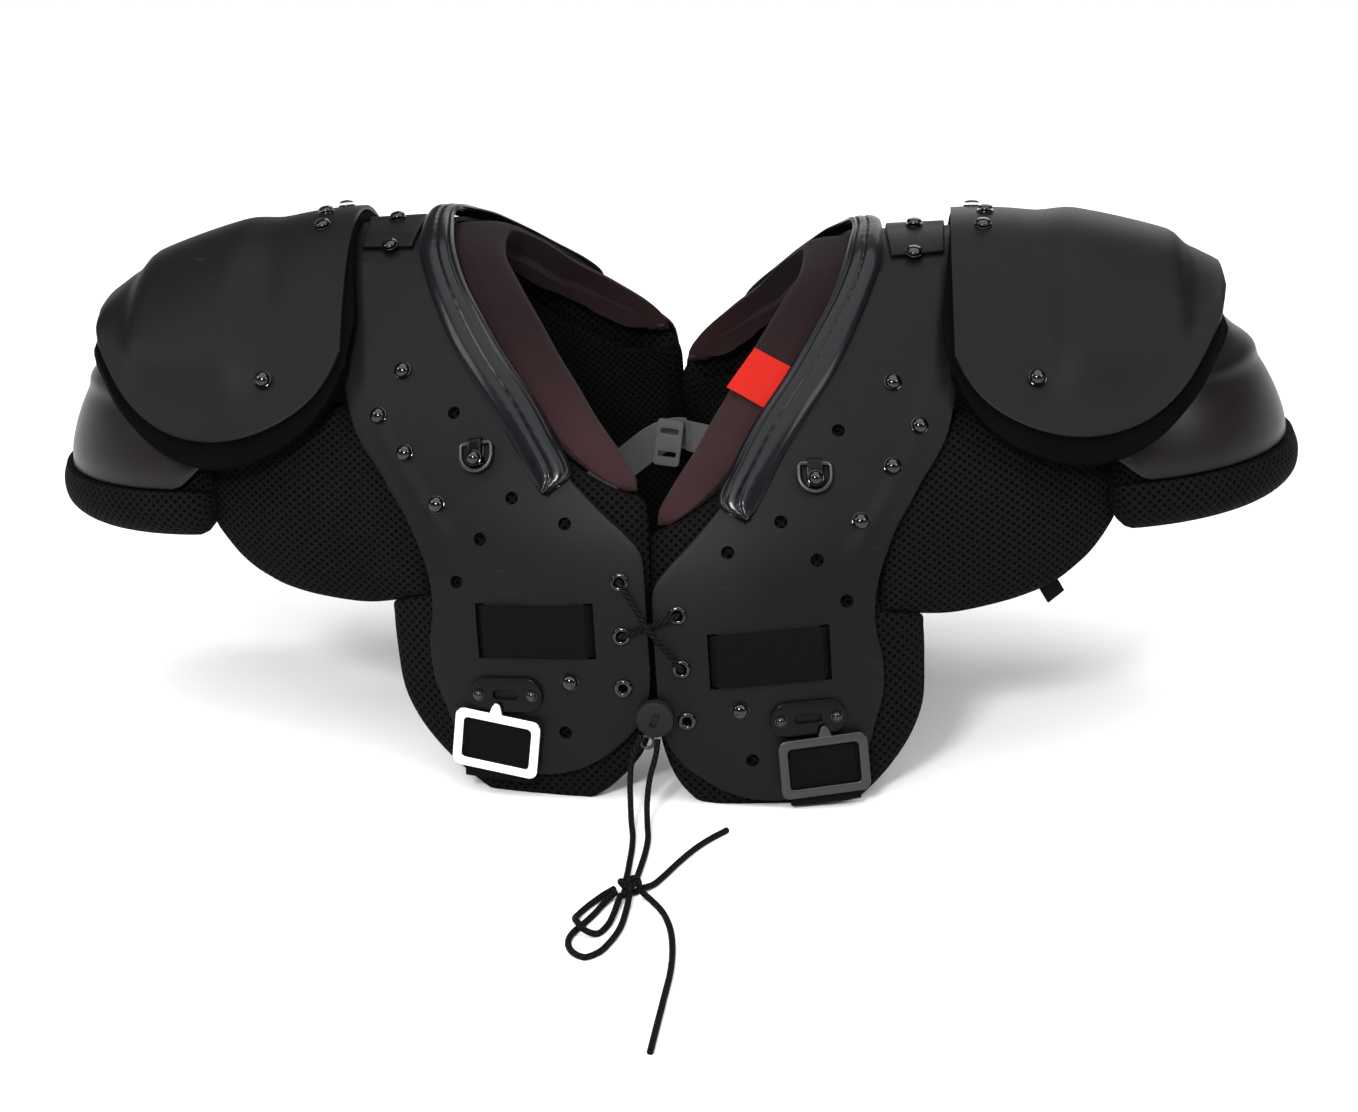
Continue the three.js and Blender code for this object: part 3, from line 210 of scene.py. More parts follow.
@functools.lru_cache(maxsize=None)
def sideFrame(along):
    reached = next((i for i, length in enumerate(sideLengths) if length >= along), 1)
    index = min(max(reached, 1), len(sidePath) - 1)
    a, b = sidePath[index - 1], sidePath[index]
    share = (along - sideLengths[index - 1]) / (sideLengths[index] - sideLengths[index - 1])
    run = (sidePath[min(index + 2, len(sidePath) - 1)] - sidePath[max(index - 3, 0)]).normalized()
    return a.lerp(b, share), run


def outwardAt(x, along):
    run = sideFrame(along)[1]
    return Vector((x / body["roundness"] * abs(run.y), -run.y, run.x)).normalized()


def onBody(x, along, lift=0):
    point, run = sideFrame(along)
    fall = x * x / (2 * body["roundness"]) * run.y
    return Vector((x, point.x + fall, point.y)) + outwardAt(x, along) * lift


leanTurn = Matrix.Rotation(-math.radians(body["lean"]), 4, "Y")
leanAt = {side: Matrix.Translation(Vector((side * body["pivotX"], 0, body["pivotZ"]))) @ leanTurn
          @ Matrix.Translation(Vector((-side * body["pivotX"], 0, -body["pivotZ"]))) for side in (1, -1)}
sideName = {1: "Right", -1: "Left"}
nodeEnd = {1: "_right", -1: "_left"}


def placed(side, point):
    return (leanAt[side] @ Vector((side * point.x, point.y, point.z)) + frameShift) * mm


def placeOn(side, x, along, lift=0, turn=0):
    # A place on the body: X across, Y up the plate, Z straight out of it
    def mirrored(vector):
        return leanTurn.to_3x3() @ Vector((side * vector.x, vector.y, vector.z))
    out = outwardAt(x, along)
    across = (Vector((1, 0, 0)) - out * out.x).normalized()
    up = mirrored(out.cross(across))
    out = mirrored(out)
    basis = Matrix((up.cross(out), up, out)).transposed().to_4x4()
    place = Matrix.Translation(placed(side, onBody(x, along, lift))) @ basis
    return place @ Matrix.Rotation(math.radians(side * turn), 4, "Z")


def placeAtSpot(side, spot, lift=0, turn=0, behind=False):
    # The same for a spot given as across from the seam and up
    return placeOn(side, spot[0], alongAt(spot[1], behind), lift, turn)


# Working in Blender
def selectOnly(*pieces):
    bpy.ops.object.select_all(action="DESELECT")
    for piece in pieces:
        piece.select_set(True)
    bpy.context.view_layer.objects.active = pieces[0]


def edit(piece, *steps):
    selectOnly(piece)
    bpy.ops.object.mode_set(mode="EDIT")
    bpy.ops.mesh.select_all(action="SELECT")
    for step in steps:
        step()
    bpy.ops.object.mode_set(mode="OBJECT")


def newPiece(name):
    piece = bpy.context.object
    piece.name = name
    piece.data.name = name
    return piece


def startPiece(name, addShape, **settings):
    # A new piece from one of the plain shapes, at the origin
    bpy.ops.object.select_all(action="DESELECT")
    addShape(location=(0, 0, 0), **settings)
    return newPiece(name)


def shape(piece, kind, **settings):
    # Adds a modifier and applies it
    selectOnly(piece)
    modifier = piece.modifiers.new(kind, kind)
    for key, value in settings.items():
        setattr(modifier, key, value)
    bpy.ops.object.modifier_apply(modifier=modifier.name)


def walled(piece, wall, rounding, segments=2, angle=50, offset=-1):
    # Gives a sheet its wall and rounds the edges, in millimetres and degrees
    shape(piece, "SOLIDIFY", thickness=wall * mm, offset=offset)
    shape(piece, "BEVEL", width=rounding * mm, segments=segments, limit_method="ANGLE",
          angle_limit=math.radians(angle))
    return piece


def smooth(piece, angle=35):
    selectOnly(piece)
    bpy.ops.object.shade_smooth_by_angle(angle=math.radians(angle))


def putAt(piece, place):
    piece.data.transform(place)
    piece.data.update()
    return piece


def closeSeams(piece, caps=True):
    steps = [lambda: bpy.ops.mesh.remove_doubles(threshold=0.00002)]
    if caps:
        steps.append(lambda: bpy.ops.mesh.fill_holes(sides=0))
        steps.append(lambda: bpy.ops.mesh.select_all(action="SELECT"))
    steps.append(lambda: bpy.ops.mesh.normals_make_consistent(inside=False))
    edit(piece, *steps)


def gridPiece(name, columns, rows, placeAt, uvAt=None):
    # A grid whose points are laid over a surface, with its UV map in metres
    piece = startPiece(name, bpy.ops.mesh.primitive_grid_add, x_subdivisions=columns, y_subdivisions=rows,
                       size=1)
    shares = [(round((vertex.co.x + 0.5) * columns), round((vertex.co.y + 0.5) * rows))
              for vertex in piece.data.vertices]
    for vertex, (column, row) in zip(piece.data.vertices, shares):
        vertex.co = placeAt(column / columns, row / rows)
    if uvAt:
        layer = piece.data.uv_layers.active.data
        for loop in piece.data.loops:
            column, row = shares[loop.vertex_index]
            layer[loop.index].uv = uvAt(column / columns, row / rows)
    piece.data.update()
    return piece


def faceAway(piece, centre):
    # Turns an open sheet so that its faces point away from a centre
    outwards = sum((face.center - centre).dot(face.normal) * face.area for face in piece.data.polygons)
    if outwards < 0:
        edit(piece, lambda: bpy.ops.mesh.flip_normals())
    return piece


def halfCentre(side):
    return placed(side, Vector((130, 0, 60)))


def stationsOf(rows, perSpan, behind=False):
    # Rows of an outline as a smooth run of (along, inner edge, outer edge) in millimetres
    if isinstance(rows, dict):
        marked = [(row, False) for row in rows["front"]] + [(row, True) for row in rows["back"]]
    else:
        marked = [(row, behind) for row in rows]
    width = body["halfWidth"]
    points = [(alongAt(up * body["height"], back), inner * width, outer * width)
              for (up, inner, outer), back in marked]
    return throughPoints(points, perSpan)


def bandPiece(name, side, rows, columns, perSpan, liftAt, behind=False, floor=False):
    stations = stationsOf(rows, perSpan, behind)
    count = len(stations) - 1

    def placeAt(across, up):
        along, inner, outer = stations[round(up * count)]
        x = inner + (outer - inner) * across
        point = placed(side, onBody(x, round(along, 4), liftAt(across, up, x)))
        if floor:
            point.z = max(point.z, floorGap)
        return point

    def uvAt(across, up):
        along, inner, outer = stations[round(up * count)]
        return ((inner + (outer - inner) * across) * mm, along * mm)

    piece = gridPiece(name, columns, count, placeAt, uvAt)
    return faceAway(piece, halfCentre(side))


def fullness(share):
    return math.sqrt(max(0, 1 - abs(2 * share - 1) ** 3))


def eased(share):
    # Closer steps at both ends, where a cushion is round
    return share - math.sin(2 * math.pi * share) / (2 * math.pi) * 0.75


def padPiece(piece, fullAt, thickness, edge, rounding):
    # Gives a sheet the depth of a foam pad, thin at its edges
    group = piece.vertex_groups.new(name="full")
    for vertex, full in zip(piece.data.vertices, fullAt):
        group.add([vertex.index], full, "REPLACE")
    shape(piece, "SOLIDIFY", thickness=thickness * mm, offset=-1, vertex_group="full",
          thickness_vertex_group=edge / thickness)
    piece.vertex_groups.clear()
    shape(piece, "BEVEL", width=rounding * mm, segments=3, limit_method="ANGLE", angle_limit=math.radians(38))
    smooth(piece, 60)
    return piece


def spread(template, name, places):
    # Copies a piece to each place and joins the copies
    parts = []
    for place in places:
        part = template.copy()
        part.data = template.data.copy()
        part.data.transform(place)
        bpy.context.collection.objects.link(part)
        parts.append(part)
    selectOnly(*parts)
    if len(parts) > 1:
        bpy.ops.object.join()
    return newPiece(name)


def studs(name, head, places, finish="rivet"):
    # Copies of a small head at their places, as one piece, in place of the head itself
    keep(spread(head, name, places), finish)
    bpy.data.objects.remove(head)


def tubePiece(name, path, radius, sides=12, closed=False):
    # A round tube along a path in metres, with its UV map in metres
    count = len(path) - 1
    lengths = runLengths(path)
    runs = []
    for index in range(len(path)):
        last = path[index - 1] if index else (path[-2] if closed else path[0])
        following = path[index + 1] if index < count else (path[1] if closed else path[-1])
        runs.append((following - last).normalized())
    sideways = runs[0].orthogonal().normalized()
    frames = []
    for run in runs:
        sideways = (sideways - run * sideways.dot(run)).normalized()
        frames.append((sideways.copy(), run.cross(sideways)))
    twist = 0
    if closed:
        first, last = frames[0][0], frames[-1][0]
        twist = math.atan2(last.cross(first).dot(runs[0]), last.dot(first))

    def placeAt(across, up):
        index = round(up * count)
        angle = 2 * math.pi * across + twist * up
        u, v = frames[index]
        return path[index] + (u * math.cos(angle) + v * math.sin(angle)) * radius

    piece = gridPiece(name, sides, count, placeAt,
                      lambda across, up: (across * 2 * math.pi * radius, lengths[round(up * count)]))
    closeSeams(piece, caps=not closed)
    smooth(piece, 50)
    return piece


def flatPiece(name, loops, thickness, rounding):
    # A plate with rounded edges from flat outlines in millimetres, standing on z 0
    curve = bpy.data.curves.new(name, "CURVE")
    curve.dimensions = "2D"
    curve.fill_mode = "BOTH"
    curve.extrude = (thickness / 2 - rounding) * mm
    curve.bevel_depth = rounding * mm
    curve.bevel_resolution = 2
    curve.offset = -rounding * mm
    for loop in loops:
        spline = curve.splines.new("POLY")
        spline.points.add(len(loop) - 1)
        for point, (x, y) in zip(spline.points, loop):
            point.co = (x * mm, y * mm, 0, 1)
        spline.use_cyclic_u = True
    outline = bpy.data.objects.new(name, curve)
    bpy.context.collection.objects.link(outline)
    selectOnly(outline)
    bpy.ops.object.convert(target="MESH")
    piece = newPiece(name)
    closeSeams(piece, caps=False)
    piece.data.transform(Matrix.Translation((0, 0, thickness / 2 * mm)))
    smooth(piece, 40)
    return piece


def arcPoints(centreX, centreY, radius, start, end, steps):
    angles = [start + (end - start) * step / steps for step in range(steps + 1)]
    return [Vector((centreX + radius * math.cos(angle), centreY + radius * math.sin(angle), 0))
            for angle in angles]


def roundedLoop(width, height, radius, steps=6, centre=(0, 0)):
    loop = []
    for corner in range(4):
        signX = 1 if corner in (0, 3) else -1
        signY = 1 if corner < 2 else -1
        for step in range(steps + 1):
            angle = math.pi / 2 * (corner + step / steps)
            loop.append((centre[0] + signX * (width / 2 - radius) + radius * math.cos(angle),
                         centre[1] + signY * (height / 2 - radius) + radius * math.sin(angle)))
    return loop


def dome(radius, height, flange=0.5):
    # A rivet head: half a ball on a narrow flat rim
    rim = startPiece("rivetRim", bpy.ops.mesh.primitive_cylinder_add, vertices=28,
                     radius=(radius + flange) * mm, depth=1.4 * mm)
    shape(rim, "BEVEL", width=0.5 * mm, segments=2, limit_method="ANGLE", angle_limit=math.radians(50))
    smooth(rim, 40)
    head = startPiece("rivetHead", bpy.ops.mesh.primitive_uv_sphere_add, segments=24, ring_count=14,
                      radius=radius * mm)
    edit(head,
         lambda: bpy.ops.mesh.bisect(plane_co=(0, 0, 0), plane_no=(0, 0, 1), use_fill=True,
                                     clear_inner=True),
         lambda: bpy.ops.mesh.select_all(action="SELECT"),
         lambda: bpy.ops.transform.resize(value=(1, 1, height / radius)))
    smooth(head, 50)
    head.data.transform(Matrix.Translation((0, 0, 0.5 * mm)))
    selectOnly(head, rim)
    bpy.ops.object.join()
    return head


def eyeletRing(radius, wire):
    piece = startPiece("eyeletRing", bpy.ops.mesh.primitive_torus_add, major_segments=28, minor_segments=10,
                       major_radius=radius * mm, minor_radius=wire * mm)
    smooth(piece, 60)
    return piece


# Shader maths as Python expressions
class Signal:
    def __init__(self, finish, socket):
        self.finish = finish
        self.socket = socket

    def maths(self, operation, *values):
        return self.finish.node("ShaderNodeMath", dict(enumerate(values)), {"operation": operation})

    def __add__(self, other):
        return self.maths("ADD", self, other)

    def __sub__(self, other):
        return self.maths("SUBTRACT", self, other)

    def __rsub__(self, other):
        return self.maths("SUBTRACT", other, self)

    def __mul__(self, other):
        return self.maths("MULTIPLY", self, other)

    def __mod__(self, other):
        return self.maths("FLOORED_MODULO", self, other)

    def __pow__(self, other):
        return self.maths("POWER", self, other)

    def __abs__(self):
        return self.maths("ABSOLUTE", self)

    __radd__ = __add__
    __rmul__ = __mul__


class Finish:
    def __init__(self, name, slot, **plain):
        self.material = bpy.data.materials.new(name)
        self.material.use_nodes = True
        self.tree = self.material.node_tree
        self.shader = self.tree.nodes["Principled BSDF"]
        self.slot = slot
        for key, value in plain.items():
            self.shader.inputs[key].default_value = value

    def feed(self, socket, value):
        if isinstance(value, Signal):
            self.tree.links.new(value.socket, socket)
        else:
            socket.default_value = value

    def node(self, kind, inputs=None, settings=None, output=0):
        made = self.tree.nodes.new(kind)
        for key, value in (settings or {}).items():
            setattr(made, key, value)
        for key, value in (inputs or {}).items():
            self.feed(made.inputs[key], value)
        return Signal(self, made.outputs[output])

    def objectPlace(self):
        return self.node("ShaderNodeTexCoord", output="Object")

    def ownMap(self):
        split = self.node("ShaderNodeSeparateXYZ", {0: self.node("ShaderNodeUVMap")})
        across = Signal(self, split.socket.node.outputs["X"])
        along = Signal(self, split.socket.node.outputs["Y"])
        return across, along

    def noise(self, scale, detail=3, roughness=0.5, vector=None):
        return self.node("ShaderNodeTexNoise", {"Vector": vector or self.objectPlace(), "Scale": scale,
                                                "Detail": detail, "Roughness": roughness})

    def stretched(self, scale):
        return self.node("ShaderNodeMapping", {"Vector": self.objectPlace(), "Scale": scale})

    def step(self, low, high, value):
        return self.node("ShaderNodeMapRange", {"Value": value, "From Min": low, "From Max": high},
                         {"interpolation_type": "SMOOTHSTEP"})

    def blend(self, share, first, second):
        return self.node("ShaderNodeMix", {0: share, 6: first, 7: second}, {"data_type": "RGBA"}, output=2)

    def finishWith(self, colour, roughness, height=None, distance=0.0003, strength=1.0):
        self.feed(self.shader.inputs["Base Color"], colour)
        self.feed(self.shader.inputs["Roughness"], roughness)
        if height is not None:
            bump = self.node("ShaderNodeBump", {"Height": height, "Distance": distance, "Strength": strength})
            self.feed(self.shader.inputs["Normal"], bump)
        return self


def paint(red, green, blue):
    return (red, green, blue, 1)


def plasticFinish():
    finish = Finish("satinPlastic", "plates", **{"Specular IOR Level": 0.085})
    cloud = finish.noise(14, 4)
    grain = finish.noise(2600, 2)
    scratch = finish.noise(60, 5, 0.7, finish.stretched((1, 1, 14)))
    scuff = finish.step(0.62, 0.72, scratch) * finish.step(0.45, 0.6, cloud)
    tone = finish.blend(cloud, paint(0.0032, 0.0029, 0.0027), paint(0.0066, 0.006, 0.0056))
    colour = finish.blend(scuff * 0.35, tone, paint(0.03, 0.0285, 0.0265))
    roughness = 0.38 + cloud * 0.12 + scuff * 0.14
    return finish.finishWith(colour, roughness, grain * 0.7 + scratch * 0.3, 0.00012, 0.5)


def cupFinish():
    finish = Finish("cupPlastic", "cups",
                    **{"Specular IOR Level": 0.19, "Coat Weight": 0.04, "Coat Roughness": 0.2})
    cloud = finish.noise(9, 4)
    grain = finish.noise(3200, 2)
    tone = finish.blend(cloud, paint(0.0045, 0.0036, 0.0031), paint(0.008, 0.0064, 0.0055))
    return finish.finishWith(tone, 0.3 + cloud * 0.1, grain, 0.00008, 0.4)


def vinylFinish():
    finish = Finish("softVinyl", "vinyl",
                    **{"Specular IOR Level": 0.1, "Coat Weight": 0.16, "Coat Roughness": 0.12})
    leather = finish.node("ShaderNodeTexVoronoi", {"Vector": finish.objectPlace(), "Scale": 900})
    crease = finish.noise(70, 3)
    tone = finish.blend(crease, paint(0.0018, 0.002, 0.003), paint(0.004, 0.0042, 0.0058))
    return finish.finishWith(tone, 0.24 + crease * 0.12, leather * 0.4 + crease, 0.00012, 0.3)


def knitHoles(finish, pitch):
    # 0 in the small holes of the knit, 1 on its threads: two square lattices, half a pitch apart
    across, along = finish.ownMap()
    offX = abs((across * (1 / pitch)) % 1 - 0.5)
    offY = abs((along * (1 / pitch)) % 1 - 0.5)
    betweenX, betweenY = 0.5 - offX, 0.5 - offY
    first = (offX * offX + offY * offY) ** 0.5
    second = (betweenX * betweenX + betweenY * betweenY) ** 0.5
    return finish.step(0.13, 0.25, first.maths("MINIMUM", first, second))


def meshFinish():
    finish = Finish("knitMesh", "mesh", **{"Specular IOR Level": 0.03})
    thread = knitHoles(finish, 0.0048)
    fuzz = finish.noise(1800, 3)
    cloud = finish.noise(18, 3)
    bright = finish.blend(fuzz * 0.6 + cloud * 0.4, paint(0.0022, 0.002, 0.0021),
                          paint(0.0068, 0.0061, 0.0064))
    colour = finish.blend(thread, paint(0.0008, 0.0008, 0.0009), bright)
    return finish.finishWith(colour, 0.95 - thread * 0.2, thread + fuzz * 0.25, 0.0009, 0.9)


def liningFinish():
    finish = Finish("brushedLining", "lining", **{"Specular IOR Level": 0.08, "Sheen Weight": 0.02})
    nap = finish.noise(900, 4, 0.7)
    cloud = finish.noise(22, 3)
    fold = finish.noise(45, 3, 0.5, finish.stretched((1, 1, 0.35)))
    # Painted shade: the lining is drawn darker towards its top, between 0.17 and 0.235 m above the floor
    height = finish.node("ShaderNodeSeparateXYZ", {0: finish.objectPlace()}, output=2)
    paintedTopShade = finish.step(0.235, 0.17, height)
    tone = nap * 0.25 + cloud * 0.45 + 0.3
    colour = finish.blend(tone * (paintedTopShade * 0.75 + 0.25), paint(0.004, 0.0025, 0.0027),
                          paint(0.036, 0.0165, 0.0185))
    return finish.finishWith(colour, 0.9, nap * 0.3 + fold, 0.0022, 0.7)


def ribbedFinish(name, slot, dark, light, pitch):
    # Woven elastic: fine ribs along it, cut by a finer weave
    finish = Finish(name, slot, **{"Specular IOR Level": 0.03})
    across, along = finish.ownMap()
    rib = abs((across * (1 / pitch)) % 1 - 0.5) * 2
    pick = abs((along * (1.7 / pitch)) % 1 - 0.5) * 2
    weave = rib * 0.65 + pick * 0.35
    fuzz = finish.noise(1500, 3)
    colour = finish.blend(weave * 0.7 + fuzz * 0.3, dark, light)
    return finish.finishWith(colour, 0.8 + fuzz * 0.15, weave + fuzz * 0.3, 0.0004, 0.8)


def foamFinish():
    finish = Finish("foamEdge", "webbing", **{"Specular IOR Level": 0.01})
    pores = finish.noise(1100, 4, 0.7)
    cloud = finish.noise(40, 3)
    colour = finish.blend(pores * 0.6 + cloud * 0.4, paint(0.0006, 0.0006, 0.0007),
                          paint(0.0034, 0.0033, 0.0034))
    return finish.finishWith(colour, 0.7 + pores * 0.2, pores + cloud * 0.4, 0.0005, 0.7)


def glossFinish(name, slot, tone, roughness, shine):
    finish = Finish(name, slot, **{"Specular IOR Level": shine})
    cloud = finish.noise(300, 2)
    colour = finish.blend(cloud, paint(*[part * 0.8 for part in tone]), paint(*[part * 1.3 for part in tone]))
    return finish.finishWith(colour, roughness + cloud * 0.05, cloud, 0.00005, 0.3)


def metalFinish(name, slot, tone, roughness):
    finish = Finish(name, slot, **{"Metallic": 1.0})
    cloud = finish.noise(90, 4)
    brushed = finish.noise(500, 3, 0.6, finish.stretched((1, 1, 0.1)))
    colour = finish.blend(cloud, paint(*[part * 0.9 for part in tone]), paint(*tone))
    return finish.finishWith(colour, roughness + brushed * 0.1, brushed, 0.00004, 0.3)


def greyPlasticFinish(name, dark, light):
    finish = Finish(name, "grey_plastic", **{"Specular IOR Level": 0.09})
    grain = finish.noise(1500, 3)
    cloud = finish.noise(60, 3)
    colour = finish.blend(cloud, dark, light)
    return finish.finishWith(colour, 0.5 + grain * 0.15, grain, 0.0001, 0.5)


def cordFinish():
    # Twisted lace: slanting strands round the cord
    finish = Finish("twistedLace", "cord", **{"Specular IOR Level": 0.03})
    across, along = finish.ownMap()
    strand = abs((across * 318 + along * 300) % 1 - 0.5) * 2
    fuzz = finish.noise(2500, 3)
    colour = finish.blend(strand, paint(0.0015, 0.0015, 0.0016), paint(0.0085, 0.0082, 0.0085))
    return finish.finishWith(colour, 0.75, strand + fuzz * 0.3, 0.0005, 0.9)


def patchFinish():
    finish = Finish("redPatch", "label", **{"Specular IOR Level": 0.08})
    across, along = finish.ownMap()
    weave = abs((across * 1100) % 1 - 0.5) + abs((along * 1100) % 1 - 0.5)
    fuzz = finish.noise(900, 3)
    colour = finish.blend(weave * 0.7 + fuzz * 0.3, paint(0.3, 0.008, 0.004), paint(0.42, 0.014, 0.008))
    return finish.finishWith(colour, 0.7, weave, 0.0002, 0.5)


finishes = {
    "plastic": plasticFinish(),
    "cup": cupFinish(),
    "vinyl": vinylFinish(),
    "mesh": meshFinish(),
    "lining": liningFinish(),
    "elastic": ribbedFinish("blackElastic", "webbing", paint(0.0014, 0.0014, 0.0015),
                            paint(0.0058, 0.0058, 0.0062), 0.0012),
    "greyWebbing": ribbedFinish("greyWebbing", "grey_webbing", paint(0.06, 0.06, 0.062),
                                paint(0.15, 0.15, 0.155), 0.0011),
    "foam": foamFinish(),
    "rivet": glossFinish("rivetGloss", "vinyl", (0.0009, 0.0009, 0.001), 0.05, 0.45),
    "gloss": glossFinish("tabGloss", "vinyl", (0.0014, 0.0014, 0.0016), 0.2, 0.1),
    "thread": glossFinish("blackThread", "vinyl", (0.003, 0.003, 0.0034), 0.45, 0.2),
    # Painted reflection: this bright metal serves only the left buckle, which is drawn lit where the right
    # one is drawn dark
    "bright": metalFinish("litBuckleMetal", "bright_metal", (0.93, 0.93, 0.94), 0.2),
    "dark": metalFinish("darkMetal", "dark_metal", (0.05, 0.05, 0.052), 0.3),
    "grey": greyPlasticFinish("greyPlastic", paint(0.008, 0.0072, 0.0069), paint(0.013, 0.0118, 0.0113)),
    "paleGrey": greyPlasticFinish("paleGreyPlastic", paint(0.07, 0.068, 0.068), paint(0.105, 0.102, 0.102)),
    "cord": cordFinish(),
    "patch": patchFinish(),
}


def unstretch(piece):
    # Where a wall gave a face no area in the map, the map is laid flat from the nearest side
    layer = piece.data.uv_layers.active.data
    for face in piece.data.polygons:
        corners = [layer[index].uv for index in face.loop_indices]
        mapped = abs(sum(a.cross(b) for a, b in zip(corners, corners[1:] + corners[:1]))) / 2
        if 0.6 < mapped / max(face.area, 1e-12) < 1.8:
            continue
        axis = max(range(3), key=lambda index: abs(face.normal[index]))
        for index in face.loop_indices:
            point = piece.data.vertices[piece.data.loops[index].vertex_index].co
            layer[index].uv = [point[other] for other in range(3) if other != axis]


def keep(piece, finish, *nodes, rides="pads", fill=None):
    # Gives a finished piece its material, its body and the nodes that it stands for
    if finish == "mesh":
        unstretch(piece)
    piece.data.materials.clear()
    piece.data.materials.append(finishes[finish].material)
    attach(piece, rides)
    if nodes:
        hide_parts(*nodes)
    return piece


# Camera, light and floor
photo = {"azimuth": 5, "elevation": 18, "distance": 1.6, "lens": 78.7, "sensor": 36, "aim": (1.4, 0, 83)}
lamps = [
    {"name": "keyLight", "at": (-0.3, -1.75, 1.15), "size": 0.3, "power": 32},
    {"name": "rightLight", "at": (1.3, -0.9, 1.2), "size": 0.6, "power": 9},
    {"name": "leftLight", "at": (-1.5, -0.5, 1.2), "size": 0.6, "power": 9},
    {"name": "backLight", "at": (0.2, 1.6, 1.1), "size": 1.2, "power": 10},
]
sky = {"level": 1.0, "overhead": 0.14, "from": 0.02, "to": 0.3, "sun": 3.1, "spread": 75}


def makeSky():
    # White round the horizon, dimmer overhead, so that black gloss stays dark
    world = bpy.data.worlds.new("softWhite")
    world.use_nodes = True
    nodes, links = world.node_tree.nodes, world.node_tree.links
    nodes["Background"].inputs["Color"].default_value = (1, 1, 1, 1)
    split = nodes.new("ShaderNodeSeparateXYZ")
    links.new(nodes.new("ShaderNodeTexCoord").outputs["Generated"], split.inputs[0])
    fade = nodes.new("ShaderNodeMapRange")
    fade.interpolation_type = "SMOOTHSTEP"
    links.new(split.outputs["Z"], fade.inputs["Value"])
    for key, value in (("From Min", sky["from"]), ("From Max", sky["to"]), ("To Min", sky["level"]),
                       ("To Max", sky["overhead"])):
        fade.inputs[key].default_value = value
    links.new(fade.outputs["Result"], nodes["Background"].inputs["Strength"])
    bpy.context.scene.world = world


def setStage():
    aim = (Vector(photo["aim"]) + frameShift) * mm
    turn, rise = math.radians(photo["azimuth"]), math.radians(photo["elevation"])
    away = Vector((math.sin(turn) * math.cos(rise), -math.cos(turn) * math.cos(rise), math.sin(rise)))
    bpy.ops.object.camera_add(location=aim + away * photo["distance"])
    camera = bpy.context.object
    camera.rotation_euler = (-away).to_track_quat("-Z", "Y").to_euler()
    camera.data.lens = photo["lens"]
    camera.data.sensor_width = photo["sensor"]
    bpy.context.scene.camera = camera
    for lamp in lamps:
        bpy.ops.object.light_add(type="AREA", location=lamp["at"])
        light = bpy.context.object
        light.name = lamp["name"]
        light.data.size = lamp["size"]
        light.data.energy = lamp["power"]
        light.rotation_euler = (Vector((0, 0, 0.1)) - light.location).to_track_quat("-Z", "Y").to_euler()
    bpy.ops.mesh.primitive_plane_add(size=40, location=(0, 0, 0))
    floor = newPiece("paleFloor")
    floorFinish = Finish("paleFloor", "plates")
    speckle = floorFinish.noise(6, 3)
    tone = floorFinish.blend(speckle, paint(0.92, 0.918, 0.92), paint(0.94, 0.937, 0.937))
    floorFinish.finishWith(tone, 0.6)
    floor.data.materials.append(floorFinish.material)
    bpy.ops.object.light_add(type="SUN", location=(0, 0, 3), rotation=(math.radians(12), 0, 0))
    bpy.context.object.data.energy = sky["sun"]
    bpy.context.object.data.angle = math.radians(sky["spread"])
    makeSky()
    bpy.context.scene.view_settings.view_transform = "Standard"


# The lace: the routes of the solids, in millimetres before the frame's shift
lace = {"radius": 1.5, "sides": 12, "perSpan": 6}
laceRoutes = {
    "lace_strand_left": [
        (-3.6, -156.6, 40.3), (-5.6, -159, 36), (-7.4, -162, 31), (-8.2, -166, 22), (-7.6, -171, 11),
        (-6.4, -179, 4), (-4.6, -190, 1.7), (-3.4, -205, 1.5), (-2.8, -222, 1.5), (-2.4, -240, 1.6),
        (-2.6, -247.8, 2.4),
    ],
    "lace_strand_right": [
        (4.6, -156.8, 38.9), (4, -160, 32), (1.4, -166, 21), (0.6, -171, 10), (1.6, -180, 3.4),
        (3.1, -192, 1.6), (3.6, -208, 1.5), (3.2, -224, 1.5), (2.6, -239, 1.6), (2.6, -246.8, 2.4),
    ],
    "bow_loop_upper": [
        (-6.3, -256.5, 3), (-10.4, -261.4, 2.2), (-16, -272, 1.6), (-20, -283, 1.6),
        (-20.6, -291, 3.4), (-18.6, -299, 5.2), (-14.4, -304, 3.6), (-9.4, -303, 1.7),
        (-5.6, -294, 1.6), (-4.2, -284, 1.8), (-3.4, -272, 2.2), (-2.8, -263.6, 3),
    ],
    "bow_loop_lower": [
        (-5.4, -260.8, 3), (-8.2, -266.4, 2.2), (-10.4, -273, 1.8), (-13, -282, 1.5), (-17, -294, 1.5),
        (-20.6, -304, 1.5), (-21, -314, 1.5), (-17.6, -323, 1.5), (-12, -327, 1.5), (-6.6, -322, 1.5),
        (-2.6, -311, 1.5), (0.4, -296, 1.5), (1.2, -283, 1.7), (1.4, -272, 2.2), (1.4, -265, 3),
    ],
    "lace_end_upper": [
        (7.2, -253.8, 2.8), (11, -247.6, 1.8), (15, -237, 1.5), (20, -222, 1.5), (26.5, -205, 1.5),
        (33, -192, 1.5), (40.7, -180, 1.5),
    ],
    "lace_end_lower": [
        (7, -259.2, 2.8), (11.6, -265, 1.8), (18, -277, 1.5), (23, -294, 1.5), (26, -315, 1.5),
        (27.2, -338, 1.5), (26.8, -362, 1.5), (26.2, -388, 1.5), (25.6, -414, 1.5),
    ],
}
knot = {"x": 0.6, "y": -255.8, "z": 4.1, "wide": 1.6, "long": 2.2, "high": 2.3, "cord": 1.55}


def floorPoint(point):
    return (Vector(point) + frameShift) * mm


